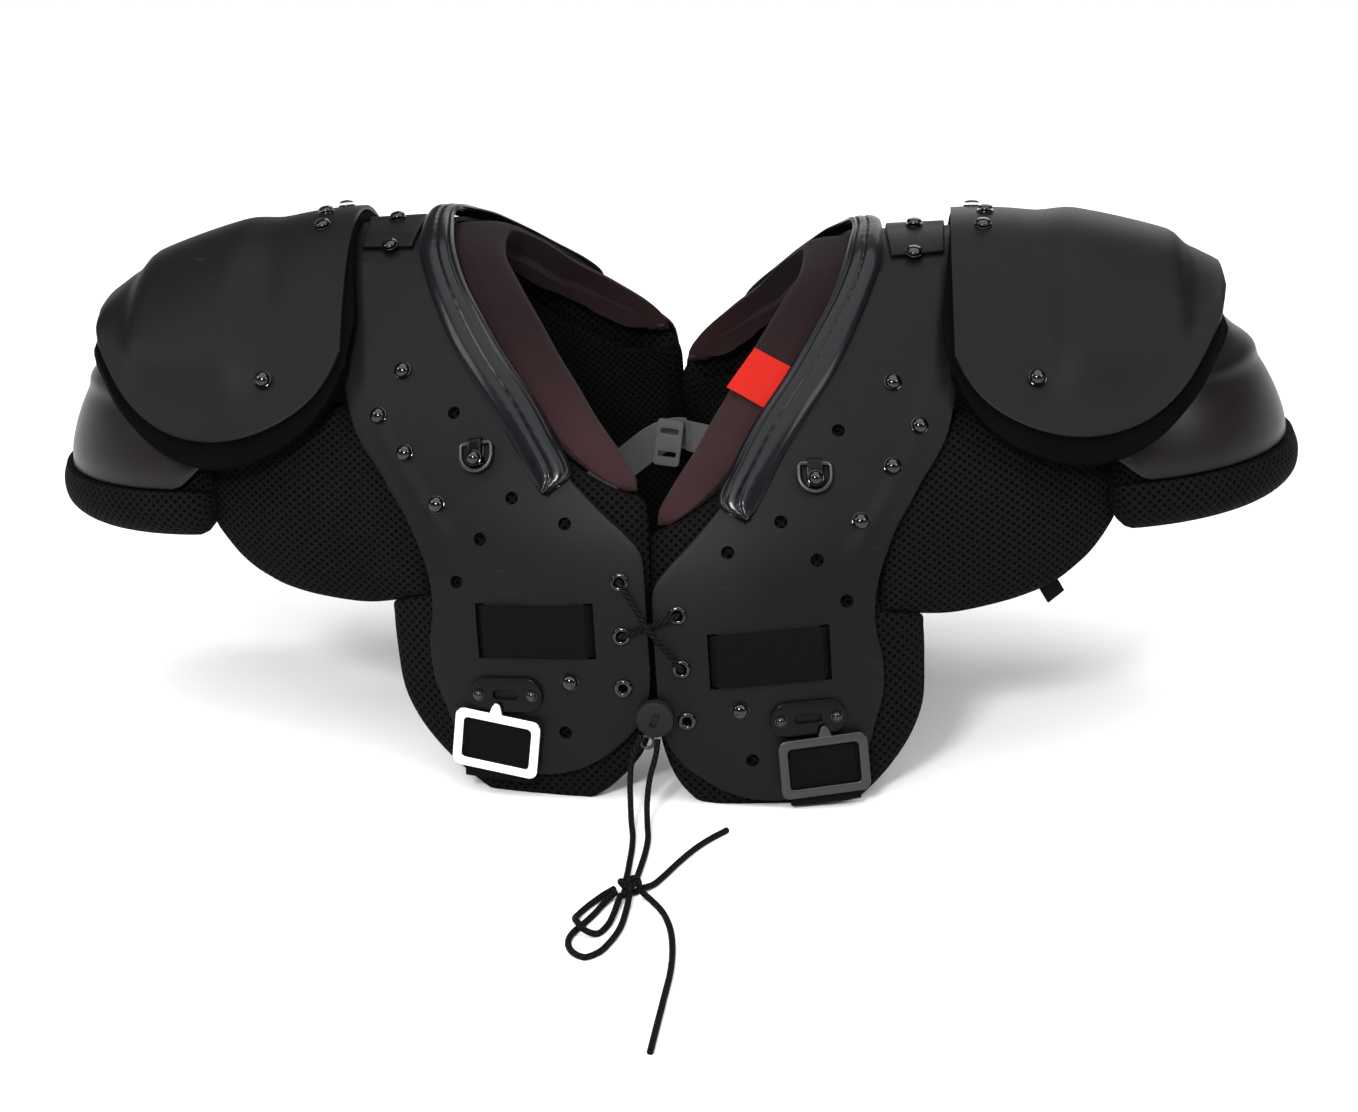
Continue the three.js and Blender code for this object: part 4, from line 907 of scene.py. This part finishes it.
def makeKnot():
    path = []
    for step in range(97):
        t = 2 * math.pi * step / 96
        path.append(floorPoint((knot["x"] + knot["wide"] * (math.sin(t) + 2 * math.sin(2 * t)),
                                knot["y"] + knot["long"] * (math.cos(t) - 2 * math.cos(2 * t)),
                                knot["z"] - knot["high"] * math.sin(3 * t))))
    return keep(tubePiece("laceKnot", path, knot["cord"] * mm, 10, closed=True), "cord", "lace_knot")


def makeLace():
    knotPiece = makeKnot()
    for name, route in laceRoutes.items():
        path = throughPoints([floorPoint(point) for point in route], lace["perSpan"])
        words = name.split("_")
        piece = tubePiece(words[0] + "".join(word.title() for word in words[1:]), path, lace["radius"] * mm,
                          lace["sides"])
        keep(piece, "cord", name)
        runLengths(path)[-1]


# What sits on the breast plates, across from the seam and up, in millimetres
breast = {
    "eyelets": [(14, 107), (14.5, 80.5), (15.5, 54)],
    "holes": [(46.5, 31), (97, 107), (83.5, 128), (40, 135), (66.5, 147), (96, 185)],
    "rivets": [(42, 57.5), (105.5, 143.5), (122, 166.5), (136, 183), (123.5, 203)],
    "slotStrap": (58, 83), "tab": (75, 51), "buckle": (81, 26.5), "belt": (81, 23), "ring": (83.5, 171),
}
rear = {
    "holes": [(46, 52), (84, 76), (46, 104), (88, 122), (50, 150), (96, 168)],
    "rivets": [(96, 42), (106, 98), (122, 150), (128, 182), (62, 182)],
}
rivets = {"radius": 4.2, "height": 3.3, "small": 2.6, "smallHeight": 2.0, "flat": 1.7, "lift": 0.1}
holes = {"radius": 3.3, "eyelet": 2.6, "eyeletCut": 2, "eyeletWire": 1.35, "eyeletLift": 0.5}
slotStrap = {"width": 60, "height": 26, "slot": 4.6, "wall": 1.8}


# The moulded rib inside the outer edge of the upper breast plate, and the rise of the edge itself
rib = {"height": 0.9, "in": 8, "width": 2.4, "edgeRise": 0.5, "edgeWidth": 6, "plateWidth": 60}


def frontLift(across, up, x):
    upper = smoothStep(0.5, 0.62, up)
    edge = (1 - across) * rib["plateWidth"]
    return (rib["height"] * upper * math.exp(-((edge - rib["in"]) / rib["width"]) ** 2)
            + rib["edgeRise"] * upper * smoothStep(rib["edgeWidth"], 0, edge))


def punch(piece, cutters):
    selectOnly(*cutters)
    if len(cutters) > 1:
        bpy.ops.object.join()
    cutter = bpy.context.object
    shape(piece, "BOOLEAN", operation="DIFFERENCE", solver="EXACT", object=cutter)
    bpy.data.objects.remove(cutter)


def pegAt(place, radius):
    peg = startPiece("peg", bpy.ops.mesh.primitive_cylinder_add, vertices=24, radius=radius * mm,
                     depth=12 * mm)
    return putAt(peg, place)


def blockAt(place, width, height, depth=14):
    block = startPiece("block", bpy.ops.mesh.primitive_cube_add, size=1)
    block.data.transform(Matrix.Diagonal((width * mm, height * mm, depth * mm, 1)))
    return putAt(block, place)


def shellOf(piece, wall):
    return walled(piece, wall, plates["rounding"])


def makePlates(side):
    name, end = sideName[side], nodeEnd[side]
    front = shellOf(bandPiece("breastPlate" + name, side, frontOutline, 26, 5, frontLift), plates["wall"])
    cutters = [pegAt(placeAtSpot(side, spot), holes["radius"]) for spot in breast["holes"]]
    cutters += [pegAt(placeAtSpot(side, spot), holes["eyeletCut"]) for spot in breast["eyelets"]]
    x, z = breast["slotStrap"]
    for way in (-1, 1):
        slotX = x + way * (slotStrap["width"] - slotStrap["slot"]) / 2
        cutters.append(blockAt(placeAtSpot(side, (slotX, z)), slotStrap["slot"], slotStrap["height"] + 2))
    punch(front, cutters)
    smooth(front, 30)
    keep(front, "plastic", "front_plate" + end)
    back = shellOf(bandPiece("backPlate" + name, side, backOutline, 22, 4, lambda *at: 0, behind=True),
                   plates["wall"])
    punch(back, [pegAt(placeAtSpot(side, spot, behind=True), holes["radius"]) for spot in rear["holes"]])
    smooth(back, 30)
    keep(back, "plastic", "back_plate" + end)
    arch = bandPiece("shoulderArch" + name, side, archOutline, 18, 8, lambda *at: -plates["archSink"])
    shellOf(arch, plates["archWall"])
    smooth(arch, 30)
    keep(arch, "plastic", "shoulder_arch" + end)
    print("plates", name)


bridge = {"wall": 2.2, "rivets": [(0.965, False), (0.999, False), (0.965, True)], "rivetX": 136}


def makeBridge(side):
    lift = -plates["archSink"] + body["seat"] + bridge["wall"]
    strap = bandPiece("bridgeStrap" + sideName[side], side, bridgeOutline, 12, 10, lambda *at: lift)
    smooth(walled(strap, bridge["wall"], 0.7, 3), 30)
    keep(strap, "plastic", "bridge_strap" + nodeEnd[side])
    head = dome(rivets["radius"] - 0.2, rivets["flat"])
    places = [placeOn(side, bridge["rivetX"], alongAt(up * body["height"], back), lift)
              for up, back in bridge["rivets"]]
    studs("bridgeRivets" + sideName[side], head, places)


def makeRivets(side):
    head = dome(rivets["radius"], rivets["height"])
    places = [placeAtSpot(side, spot, rivets["lift"]) for spot in breast["rivets"]]
    places += [placeAtSpot(side, spot, rivets["lift"], behind=True) for spot in rear["rivets"]]
    studs("plateRivets" + sideName[side], head, places)
    eyelet = eyeletRing(holes["eyelet"] + holes["eyeletWire"] - 0.6, holes["eyeletWire"])
    places = [placeAtSpot(side, spot, holes["eyeletLift"]) for spot in breast["eyelets"]]
    studs("laceEyelets" + sideName[side], eyelet, places)


# The shoulder flap and the foam-edged layer under it
flap = {"centre": 12, "wall": 2.4, "dome": 4.2, "valley": 1.6, "rivet": (0.29, -0.86),
        "topRivets": [(0.12, -0.22), (0.13, -0.04), (0.08, 0.16)]}
liner = {"wall": 3.6, "hem": 3.4, "margin": 1.06, "inner": 8}
fineFlap = throughPoints(flapRows, 8)


def flapAt(share, sideways, depth=0):
    first, last = flapRows[0][0], flapRows[-1][0]

    def bare(shareOut, across):
        out = first + shareOut * (last - first)
        crest, reach, hem = readLine(fineFlap, out)[1:]
        drop = (crest - hem) * across * across
        return Vector((out * body["halfWidth"], flap["centre"] + across * reach * body["halfWidth"],
                       (crest - drop) * body["height"]))

    step = 0.02
    base = min(max(share, step), 1 - step)
    outwards = bare(base + step, sideways) - bare(base - step, sideways)
    along = bare(base, sideways + step) - bare(base, sideways - step)
    return bare(share, sideways) - outwards.cross(along).normalized() * depth


def flapRelief(share, sideways):
    # A raised dome with a step round it, and a valley from the rivet upwards
    rim = smoothStep(0.3, 0.46, share) * (1 - smoothStep(0.8, 0.89, share))
    rim *= 1 - smoothStep(0.72, 0.93, abs(sideways))
    valley = math.exp(-((share - 0.31) / 0.055) ** 2) * smoothStep(0.25, 0.6, abs(sideways))
    return flap["dome"] * rim - flap["valley"] * valley * (1 - smoothStep(0.86, 0.98, abs(sideways)))


def flapFrame(side, share, sideways, lift):
    point = flapAt(share, sideways, -lift)
    out = (flapAt(share, sideways, -1) - flapAt(share, sideways, 0)).normalized()
    turned = leanTurn.to_3x3() @ Vector((side * out.x, out.y, out.z))
    return Matrix.Translation(placed(side, point)) @ turned.to_track_quat("Z", "Y").to_matrix().to_4x4()


def makeFlap(side):
    name, end = sideName[side], nodeEnd[side]
    columns, rows = 56, 48

    def spaced(across):
        return eased(across) * 2 - 1

    def uvAt(across, up):
        return (up * 140 * mm, spaced(across) * 110 * mm)

    shell = gridPiece("shoulderFlap" + name, columns, rows,
                      lambda across, up: placed(side, flapAt(eased(up), spaced(across),
                                                             -flapRelief(eased(up), spaced(across)))), uvAt)
    shellOf(faceAway(shell, halfCentre(side)), flap["wall"])
    smooth(shell, 30)
    keep(shell, "plastic", "shoulder_flap" + end)

    def linerAt(across, up):
        sideways = spaced(across) * liner["margin"]
        share = eased(up)
        first, last = flapRows[0][0], flapRows[-1][0]
        inwards = liner["inner"] / body["halfWidth"] * sideways * sideways * (1 - smoothStep(0, 0.1, share))
        inwards *= 1 - 0.8 * smoothStep(0.8, 1.06, abs(sideways))
        depth = flap["wall"] + 2 * body["seat"]
        return placed(side, flapAt(share - inwards / (last - first), sideways, depth))

    columns, rows = 48, 40
    under = gridPiece("flapLiner" + name, columns, rows, linerAt, uvAt)
    faceAway(under, halfCentre(side))
    full = [1 - (1 - min(abs(spaced(column / columns)), 1) ** 4) * 0.9
            for row in range(rows + 1) for column in range(columns + 1)]
    padPiece(under, full, liner["wall"] + liner["hem"], liner["wall"], 1.5)
    keep(under, "foam", "flap_liner" + end, fill=1.0)
    head = dome(rivets["radius"], rivets["height"])
    places = [flapFrame(side, flap["rivet"][0], way * flap["rivet"][1], rivets["lift"]) for way in (1, -1)]
    studs("flapRivets" + name, head, places)
    head = dome(rivets["radius"] - 0.2, rivets["flat"])
    places = [flapFrame(side, share, sideways, rivets["lift"]) for share, sideways in flap["topRivets"]]
    studs("hingeRivets" + name, head, places)
    print("flap", name)


# The cup and its pad
cup = {"x": 228, "y": 12, "radius": 97, "depth": 92, "wall": 3, "sweep": 91, "drop": 4.2,
       "ridgeAt": 193, "ridge": 3.4, "ridgeWidth": 5.5, "tuck": 15}
cupPad = {"sweep": 90, "height": 45, "width": 33}


def cupAt(angle, out, height):
    return Vector((cup["x"] + out * cup["radius"] * math.cos(angle),
                   cup["y"] + out * cup["depth"] * math.sin(angle), height))


def makeCup(side):
    name, end = sideName[side], nodeEnd[side]
    crest = readLine(fineFlap, cup["x"] / body["halfWidth"])[1]
    top = crest * body["height"] - flap["wall"] - liner["wall"] - cup["drop"]
    rows = throughPoints([(0.06, top)] + [(out, up * body["height"]) for out, up in cupRows], 8)
    sweep = math.radians(cup["sweep"])
    lengths = runLengths([Vector((row.x * cup["radius"], row.y)) for row in rows])

    def cupPlace(across, up):
        out, height = rows[round(up * (len(rows) - 1))]
        bulge = cup["ridge"] * math.exp(-((height - cup["ridgeAt"]) / cup["ridgeWidth"]) ** 2)
        # Near its ends the rim rises under the flap
        height += cup["tuck"] * smoothStep(0.84, 1, abs(2 * across - 1)) * smoothStep(0.8, 1, up)
        return placed(side, cupAt(sweep * (2 * across - 1), out + bulge / cup["radius"], height))

    shell = gridPiece("shoulderCup" + name, 64, len(rows) - 1, cupPlace,
                      lambda across, up: (across * 0.3, lengths[round(up * (len(rows) - 1))] * mm))
    faceAway(shell, placed(side, Vector((cup["x"] - 30, cup["y"], 120))))
    shellOf(shell, cup["wall"])
    smooth(shell, 30)
    keep(shell, "cup", "shoulder_cup" + end)
    print("cup", name)


def makeCupPad(side):
    sweep = math.radians(cupPad["sweep"])
    foot = cupRows[-1][1] * body["height"] - body["seat"] - 0.59 * cupPad["height"]
    section = throughPoints(cupPadSection + cupPadSection[:1], 4)
    count, rings = len(section) - 1, 72
    lengths = runLengths([Vector((row.x * cupPad["width"], row.y * cupPad["height"])) for row in section])

    def padPlace(across, up):
        inward, rise = section[round(across * count)]
        near = min(up, 1 - up) * 2 * sweep * cup["radius"] / 14
        grown = math.sqrt(max(0.12, 1 - (1 - min(near, 1)) ** 2))
        inward = 0.32 + (inward - 0.32) * grown
        rise = 0.45 + (rise - 0.45) * grown
        return placed(side, cupAt(sweep * (2 * up - 1), 1 - inward * cupPad["width"] / cup["radius"],
                                  foot + rise * cupPad["height"]))

    pad = gridPiece("cupPad" + sideName[side], count, rings, padPlace,
                    lambda across, up: (2 * sweep * cup["radius"] * up * mm,
                                        lengths[round(across * count)] * mm))
    closeSeams(pad)
    smooth(pad, 60)
    keep(pad, "mesh", "cup_pad" + nodeEnd[side], fill=0.9)


# Foam pads in their mesh covers
bodyPad = {"thickness": 19, "edge": 5, "rounding": 2}
chestPad = {"thickness": 20, "edge": 6, "rounding": 2, "swell": 5, "swellOver": 40}
neckPad = {"thickness": 18, "edge": 6, "rounding": 2, "sink": 6.5}


def cushionBand(name, side, rows, columns, perSpan, front, pad, behind=False, floor=False):
    def fullAt(across, up):
        return min(fullness(up), fullness(across))

    def liftAt(across, up, x):
        return front - (pad["thickness"] - pad["edge"]) / 2 * (1 - fullAt(across, up))

    piece = bandPiece(name, side, rows, columns, perSpan, liftAt, behind, floor)
    count = len(stationsOf(rows, perSpan, behind)) - 1
    full = [fullAt(column / columns, row / count)
            for row in range(count + 1) for column in range(columns + 1)]
    padPiece(piece, full, pad["thickness"], pad["edge"], pad["rounding"])
    if floor:
        for vertex in piece.data.vertices:
            vertex.co.z = max(vertex.co.z, floorGap)
    return piece


def makePads(side):
    name, end = sideName[side], nodeEnd[side]
    behindPlate = -plates["wall"] - 2 * body["seat"]
    keep(cushionBand("bodyPad" + name, side, bodyPadOutline, 34, 4, behindPlate, bodyPad, floor=True),
         "mesh", "body_pad" + end, fill=0.9)
    keep(cushionBand("backPad" + name, side, backPadOutline, 34, 4, behindPlate, bodyPad, behind=True,
                     floor=True),
         "mesh", "back_pad" + end, fill=0.9)
    keep(cushionBand("neckPad" + name, side, neckOutline, 20, 5, -neckPad["sink"], neckPad),
         "lining", "neck_pad" + end, fill=0.8)
    for behind in (False, True):
        makeChestPad(side, behind)
    print("pads", name)


def makeChestPad(side, behind):
    name = ("bladePad" if behind else "chestPad") + sideName[side]
    fine = throughPoints([(out * body["halfWidth"], low * body["height"], high * body["height"])
                          for out, low, high in chestPadOutline], 5)
    count, rows = len(fine) - 1, 28
    covered = chestPadOutline[3][0] * body["halfWidth"]

    def fullAt(across, up):
        return min(fullness(up), fullness(across))

    def padPlace(across, up):
        x, low, high = fine[round(across * count)]
        full = fullAt(across, up)
        swell = chestPad["swell"] * smoothStep(covered, covered + chestPad["swellOver"], x) * fullness(up)
        sink = (chestPad["thickness"] - chestPad["edge"]) / 2 * (1 - full)
        lift = -plates["wall"] - body["seat"] - sink + swell
        return placed(side, onBody(x, alongAt(round(low + (high - low) * up, 3), behind), lift))

    def uvAt(across, up):
        x, low, high = fine[round(across * count)]
        return (x * mm, (low + (high - low) * up) * 1.25 * mm)

    piece = faceAway(gridPiece(name, count, rows, padPlace, uvAt), halfCentre(side))
    full = [fullAt(column / count, row / rows)
            for row in range(rows + 1) for column in range(count + 1)]
    padPiece(piece, full, chestPad["thickness"] + 2, chestPad["edge"], chestPad["rounding"])
    keep(piece, "mesh", ("blade_pad" if behind else "chest_pad") + nodeEnd[side], fill=0.9)


# The vinyl binding round the collar, with its stitches
binding = {"wall": 3.0, "sheet": 1.5, "stitch": 3.6, "pitch": 5.6, "thread": 0.42}


def makeBinding(side):
    def liftAt(across, up, x):
        crown = binding["wall"] * (1 - abs(2 * across - 1) ** 3.2 * 0.75)
        ditch = 0.55 * math.exp(-((across - 0.5) / 0.055) ** 2)
        bead = 0.8 * math.exp(-((across - 0.07) / 0.045) ** 2)
        bead -= 0.5 * math.exp(-((across - 0.17) / 0.04) ** 2)
        pucker = 0.06 * math.sin(up * 300) * math.exp(-((across - 0.5) / 0.14) ** 2)
        return 2 * body["seat"] + crown - ditch + bead + pucker

    strip = bandPiece("collarBinding" + sideName[side], side, collarOutline, 40, 16, liftAt)
    smooth(walled(strip, binding["sheet"], 0.5), 45)
    keep(strip, "vinyl", "neck_binding" + nodeEnd[side])
    stations = stationsOf(collarOutline, 20)
    middle = [onBody((inner + outer) / 2, along, 2 * body["seat"] + binding["wall"] - 0.7)
              for along, inner, outer in stations[20:-20]]
    lengths = runLengths(middle)
    stitch = startPiece("stitch", bpy.ops.mesh.primitive_uv_sphere_add, segments=8, ring_count=6, radius=1)
    thread = binding["thread"] * mm
    stitch.data.transform(Matrix.Diagonal((thread, thread, binding["stitch"] / 2 * mm, 1)))
    smooth(stitch, 80)
    places = []
    for step in range(int(lengths[-1] / binding["pitch"])):
        at = (step + 0.5) * binding["pitch"]
        index = next(i for i, length in enumerate(lengths) if length >= at)
        a, b = placed(side, middle[index - 1]), placed(side, middle[index])
        places.append(Matrix.Translation(a) @ (b - a).to_track_quat("Z", "Y").to_matrix().to_4x4())
    studs("bindingStitches" + sideName[side], stitch, places, "thread")
    print("binding", sideName[side])


# Belts, tabs, buckles and the slotted strap
tab = {"width": 38.5, "height": 18, "wall": 1.8, "slotWidth": 13, "slotHeight": 4.4, "rivet": 13.95}
buckle = {"width": 45, "height": 31, "border": 4.8, "wall": 2.4, "tilt": {1: -1.5, -1: -10},
          "corner": 4.4, "innerCorner": 2.2, "tongueWidth": 7, "tongueHeight": 5.5}
belt = {"width": 35.5, "wall": 2.4, "length": 34, "crown": 0.8}


def makeTab(side):
    place = placeAtSpot(side, breast["tab"], 2 * body["seat"])
    loops = [roundedLoop(tab["width"], tab["height"], tab["height"] / 2 - 0.01, 10),
             roundedLoop(tab["slotWidth"], tab["slotHeight"], 1.5, 4)]
    piece = putAt(flatPiece("beltTab" + sideName[side], loops, tab["wall"], 0.6), place)
    keep(piece, "gloss", "belt_tab" + nodeEnd[side])
    head = dome(rivets["small"], rivets["smallHeight"])
    places = [place @ Matrix.Translation((way * tab["rivet"] * mm, 0, tab["wall"] * mm)) for way in (-1, 1)]
    studs("tabRivets" + sideName[side], head, places)


def makeBuckle(side):
    lift = body["seat"] + belt["wall"] + body["seat"]
    place = placeAtSpot(side, breast["buckle"], lift, -buckle["tilt"][side])
    loops = [roundedLoop(buckle["width"] - 2 * inset, buckle["height"] - 2 * inset, corner)
             for inset, corner in ((0, buckle["corner"]), (buckle["border"], buckle["innerCorner"]))]
    ringPiece = flatPiece("buckleFrame", loops, buckle["wall"], 0.9)
    top = buckle["height"] / 2
    half = buckle["tongueWidth"] / 2
    tongueLoop = [(-half - 2.5, top - 2.4), (-half, top - 0.3), (-2.2, top + buckle["tongueHeight"] - 1.6),
                  (-0.9, top + buckle["tongueHeight"]), (0.9, top + buckle["tongueHeight"]),
                  (2.2, top + buckle["tongueHeight"] - 1.6), (half, top - 0.3), (half + 2.5, top - 2.4)]
    tongueLoop = [(x + 1.5 * side, y) for x, y in reversed(tongueLoop)]
    tongue = flatPiece("buckleTongue", [tongueLoop], buckle["wall"] - 0.4, 0.5)
    selectOnly(ringPiece, tongue)
    bpy.ops.object.join()
    piece = putAt(newPiece("beltBuckle" + sideName[side]), place)
    # Painted light: the two buckles are one metal, drawn bright on the left and dark on the right for the
    # light they reflect
    keep(piece, "dark" if side > 0 else "bright", "belt_buckle" + nodeEnd[side])


def ribbonPiece(name, width, length, wall, place, bend=lambda x, y: 0, columns=16, rows=24):
    # A flat ribbon with rounded edges, X across and Y along it
    piece = gridPiece(name, columns, rows, lambda across, up: Vector((
        (across - 0.5) * width * mm, (up - 0.5) * length * mm, (wall + bend(across, up)) * mm)),
        lambda across, up: (across * width * mm, up * length * mm))
    smooth(walled(piece, wall, wall * 0.3), 40)
    return putAt(piece, place)


def makeBelt(side):
    place = placeAtSpot(side, breast["belt"], body["seat"], -buckle["tilt"][side] * 0.5)

    def crown(across, up):
        return belt["crown"] * math.sin(up * math.pi) * (1 - abs(2 * across - 1) ** 4)

    piece = ribbonPiece("beltStrap" + sideName[side], belt["width"], belt["length"], belt["wall"], place,
                        crown)
    keep(piece, "elastic", "belt_strap" + nodeEnd[side])


def makeSlotStrap(side):
    x, z = breast["slotStrap"]
    reach = slotStrap["width"] / 2 - slotStrap["slot"] / 2

    def strapAt(across, up):
        along = alongAt(round(z + (up - 0.5) * slotStrap["height"], 3))
        offset = (across * 2 - 1) * (reach + 1.6)
        dip = smoothStep(reach - 2.2, reach + 1.2, abs(offset))
        lift = 2 * body["seat"] + slotStrap["wall"] - dip * (plates["wall"] + 2.2)
        return placed(side, onBody(x + offset, along, lift + 0.35 * math.sin(up * math.pi) * (1 - dip)))

    piece = gridPiece("slotStrap" + sideName[side], 48, 12, strapAt,
                      lambda across, up: (up * slotStrap["height"] * mm, across * slotStrap["width"] * mm))
    faceAway(piece, halfCentre(side))
    smooth(walled(piece, slotStrap["wall"] * 0.8, 0.4), 40)
    keep(piece, "elastic", "slot_strap" + nodeEnd[side])


# The D-ring in its clip
ring = {"wire": 1.2, "width": 18.4, "height": 16.5, "corner": 2.2}
clip = {"width": 7, "wall": 1.1, "drop": 12.2, "rivetDrop": 8.4}


def makeRing(side):
    lift = body["seat"] + clip["wall"] + body["seat"] + ring["wire"]
    place = placeAtSpot(side, breast["ring"], lift)
    radius = ring["width"] / 2 - ring["wire"]
    drop = ring["height"] - 2 * ring["wire"] - radius
    corner = ring["corner"]
    path = [Vector((0, 0, 0))]
    path += arcPoints(radius - corner, -corner, corner, math.pi / 2, 0, 6)
    path += arcPoints(0, -drop, radius, 0, -math.pi, 24)
    path += arcPoints(corner - radius, -corner, corner, math.pi, math.pi / 2, 6)
    path.append(Vector((0, 0, 0)))
    path = [point * mm for point in path]
    piece = tubePiece("dRing" + sideName[side], path, ring["wire"] * mm, 12, closed=True)
    keep(putAt(piece, place), "dark", "d_ring" + nodeEnd[side], rides="ring" + nodeEnd[side])
    middle = ring["wire"] + body["seat"] + clip["wall"] / 2
    line = [Vector((-clip["drop"], -middle)), Vector((0, -middle))]
    line += [Vector((middle * math.sin(angle), -middle * math.cos(angle)))
             for angle in [math.pi * step / 10 for step in range(1, 10)]]
    line += [Vector((0, middle)), Vector((-clip["drop"], middle))]
    loop = gridPiece("ringClip" + sideName[side], 4, len(line) - 1, lambda across, up: Vector((
        (across - 0.5) * clip["width"] * mm, line[round(up * (len(line) - 1))].x * mm,
        line[round(up * (len(line) - 1))].y * mm)))
    smooth(walled(loop, clip["wall"], 0.25, 2, 60, 0), 40)
    keep(putAt(loop, place), "gloss", "ring_clip" + nodeEnd[side])
    head = dome(rivets["radius"] - 0.5, rivets["height"])
    rivetPlace = place @ Matrix.Translation((0, -clip["rivetDrop"] * mm, (middle + clip["wall"] / 2) * mm))
    studs("ringRivet" + sideName[side], head, [rivetPlace])


# What both halves share
cross = {"upperRise": 6.6, "lowerRise": 1.6}
backStrap = {"width": 19, "wall": 1.4, "slideWidth": 15, "slideHeight": 27, "slideWall": 4.6}
backStrapPlaces = [(-62, 94), (-40, 111), (-20, 126), (-8, 130), (8, 128), (34, 117), (58, 105)]
label = {"width": 23, "height": 27, "wall": 0.7, "at": (58, 212), "turn": -32}
padTab = {"width": 11, "height": 12, "wall": 1.4, "at": (205, 92), "turn": 30}


def makeCross(name, node, start, end, rise):
    def entry(side, spot, lift):
        return placed(side, onBody(spot[0], alongAt(spot[1]), lift)) / mm
    first = [entry(-1, start, -2.3), entry(-1, start, 0.4), entry(-1, start, 2)]
    last = [entry(1, end, 2), entry(1, end, 0.4), entry(1, end, -2.3)]
    step = last[0] - first[2]
    over = [first[2] + step * share - Vector((0, out, 0))
            for share, out in ((0.14, 1.4), (0.5, rise), (0.86, 1.4))]
    path = throughPoints([point * mm for point in first + over + last], 6)
    keep(tubePiece(name, path, lace["radius"] * mm, lace["sides"]), "cord", node)


def makeToggle():
    steps = 40
    circle = [(toggle["radius"] * math.cos(2 * math.pi * step / steps),
               toggle["radius"] * math.sin(2 * math.pi * step / steps)) for step in range(steps)]
    disc = flatPiece("laceToggle", [circle], toggle["thick"], 1.2)
    upright = Matrix.Rotation(math.radians(90), 4, "X")
    place = Matrix.Translation((toggleCentre + frameShift) * mm) @ upright
    disc.data.transform(Matrix.Translation((0, 0, -toggle["thick"] / 2 * mm)))
    slotPlace = Matrix.Translation((0, 0, toggle["thick"] / 2 * mm))
    slotPlace @= Matrix.Rotation(math.radians(toggle["slotTurn"]), 4, "Z")
    punch(disc, [blockAt(slotPlace, *toggle["slot"], 3)])
    smooth(disc, 35)
    keep(putAt(disc, place), "grey", "lace_toggle")
    eye = eyeletRing(toggle["ringRadius"], toggle["ringWire"])
    eye.name = eye.data.name = "toggleRing"
    seat = Vector((toggle["ringX"], toggleCentre.y + 1.6, toggle["ringZ"]))
    keep(putAt(eye, Matrix.Translation((seat + frameShift) * mm) @ upright), "dark", "toggle_ring")


def onBackPad(x, z, lift):
    side = 1 if x >= 0 else -1
    local = leanAt[side].inverted() @ Vector((x, 0, z))
    return placed(side, onBody(abs(local.x), alongAt(round(local.z, 3), True), lift))


def makeBackStrap():
    lift = -plates["wall"] - bodyPad["thickness"] - 4 * body["seat"]
    line = throughPoints(backStrapPlaces, 8)

    def strapAt(across, up):
        index = round(up * (len(line) - 1))
        run = (line[min(index + 1, len(line) - 1)] - line[max(index - 1, 0)]).normalized()
        half = (across - 0.5) * backStrap["width"]
        x, z = line[index] + Vector((-run.y, run.x)) * half
        centre = smoothStep(14, 0, abs(x))
        near = onBackPad(x, z, lift)
        return near - Vector((0, 1.2 * mm * centre, 0))

    lengths = runLengths(line)
    strap = gridPiece("backStrap", 8, len(line) - 1, strapAt,
                      lambda across, up: (across * backStrap["width"] * mm,
                                          lengths[round(up * (len(line) - 1))] * mm))
    faceAway(strap, Vector((0, 0.3, 0.1)))
    shape(strap, "SOLIDIFY", thickness=backStrap["wall"] * mm, offset=-1)
    smooth(strap, 40)
    keep(strap, "greyWebbing", "back_strap")
    width, height = backStrap["slideWidth"], backStrap["slideHeight"]
    loops = [roundedLoop(width, height, 2.4)]
    loops += [roundedLoop(width - 5, 3.2, 1, 3, (0, way * height / 4)) for way in (-1, 1)]
    slide = flatPiece("backStrapSlide", loops, backStrap["slideWall"] - 1.4, 0.7)
    low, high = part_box("back_strap_slide")
    middle = (Vector(low) + Vector(high)) / 2
    turned = Matrix.Rotation(0.12, 4, "Y") @ Matrix.Rotation(math.radians(90), 4, "X")
    keep(putAt(slide, Matrix.Translation(middle) @ turned), "paleGrey", "back_strap_slide")


def makeLabels():
    place = placeAtSpot(1, label["at"], -neckPad["sink"] + 2 * body["seat"], label["turn"])
    patch = ribbonPiece("neckPatch", label["width"], label["height"], label["wall"], place,
                        lambda across, up: 0.25 * math.sin(across * 5 + up * 3))
    keep(patch, "patch", "neck_label")
    place = placeAtSpot(1, padTab["at"], -plates["wall"] - chestPad["thickness"] / 2, padTab["turn"])
    corner = ribbonPiece("chestTab", padTab["width"], padTab["height"], padTab["wall"],
                         place @ Matrix.Translation((0, 4 * mm, -padTab["wall"] / 2 * mm)))
    keep(corner, "elastic", "chest_tab")


setStage()
makeLace()
print("lace")
for side in (1, -1):
    makePads(side)
    makePlates(side)
    makeBridge(side)
    makeRivets(side)
    makeFlap(side)
    makeCup(side)
    makeCupPad(side)
    makeBinding(side)
    makeBelt(side)
    makeTab(side)
    makeBuckle(side)
    makeSlotStrap(side)
    makeRing(side)
upperEyelet, middleEyelet = breast["eyelets"][:2]
makeCross("laceCrossUpper", "lace_cross_upper", upperEyelet, middleEyelet, cross["upperRise"])
makeCross("laceCrossLower", "lace_cross_lower", middleEyelet, upperEyelet, cross["lowerRise"])
makeToggle()
makeBackStrap()
makeLabels()
print("shared pieces")
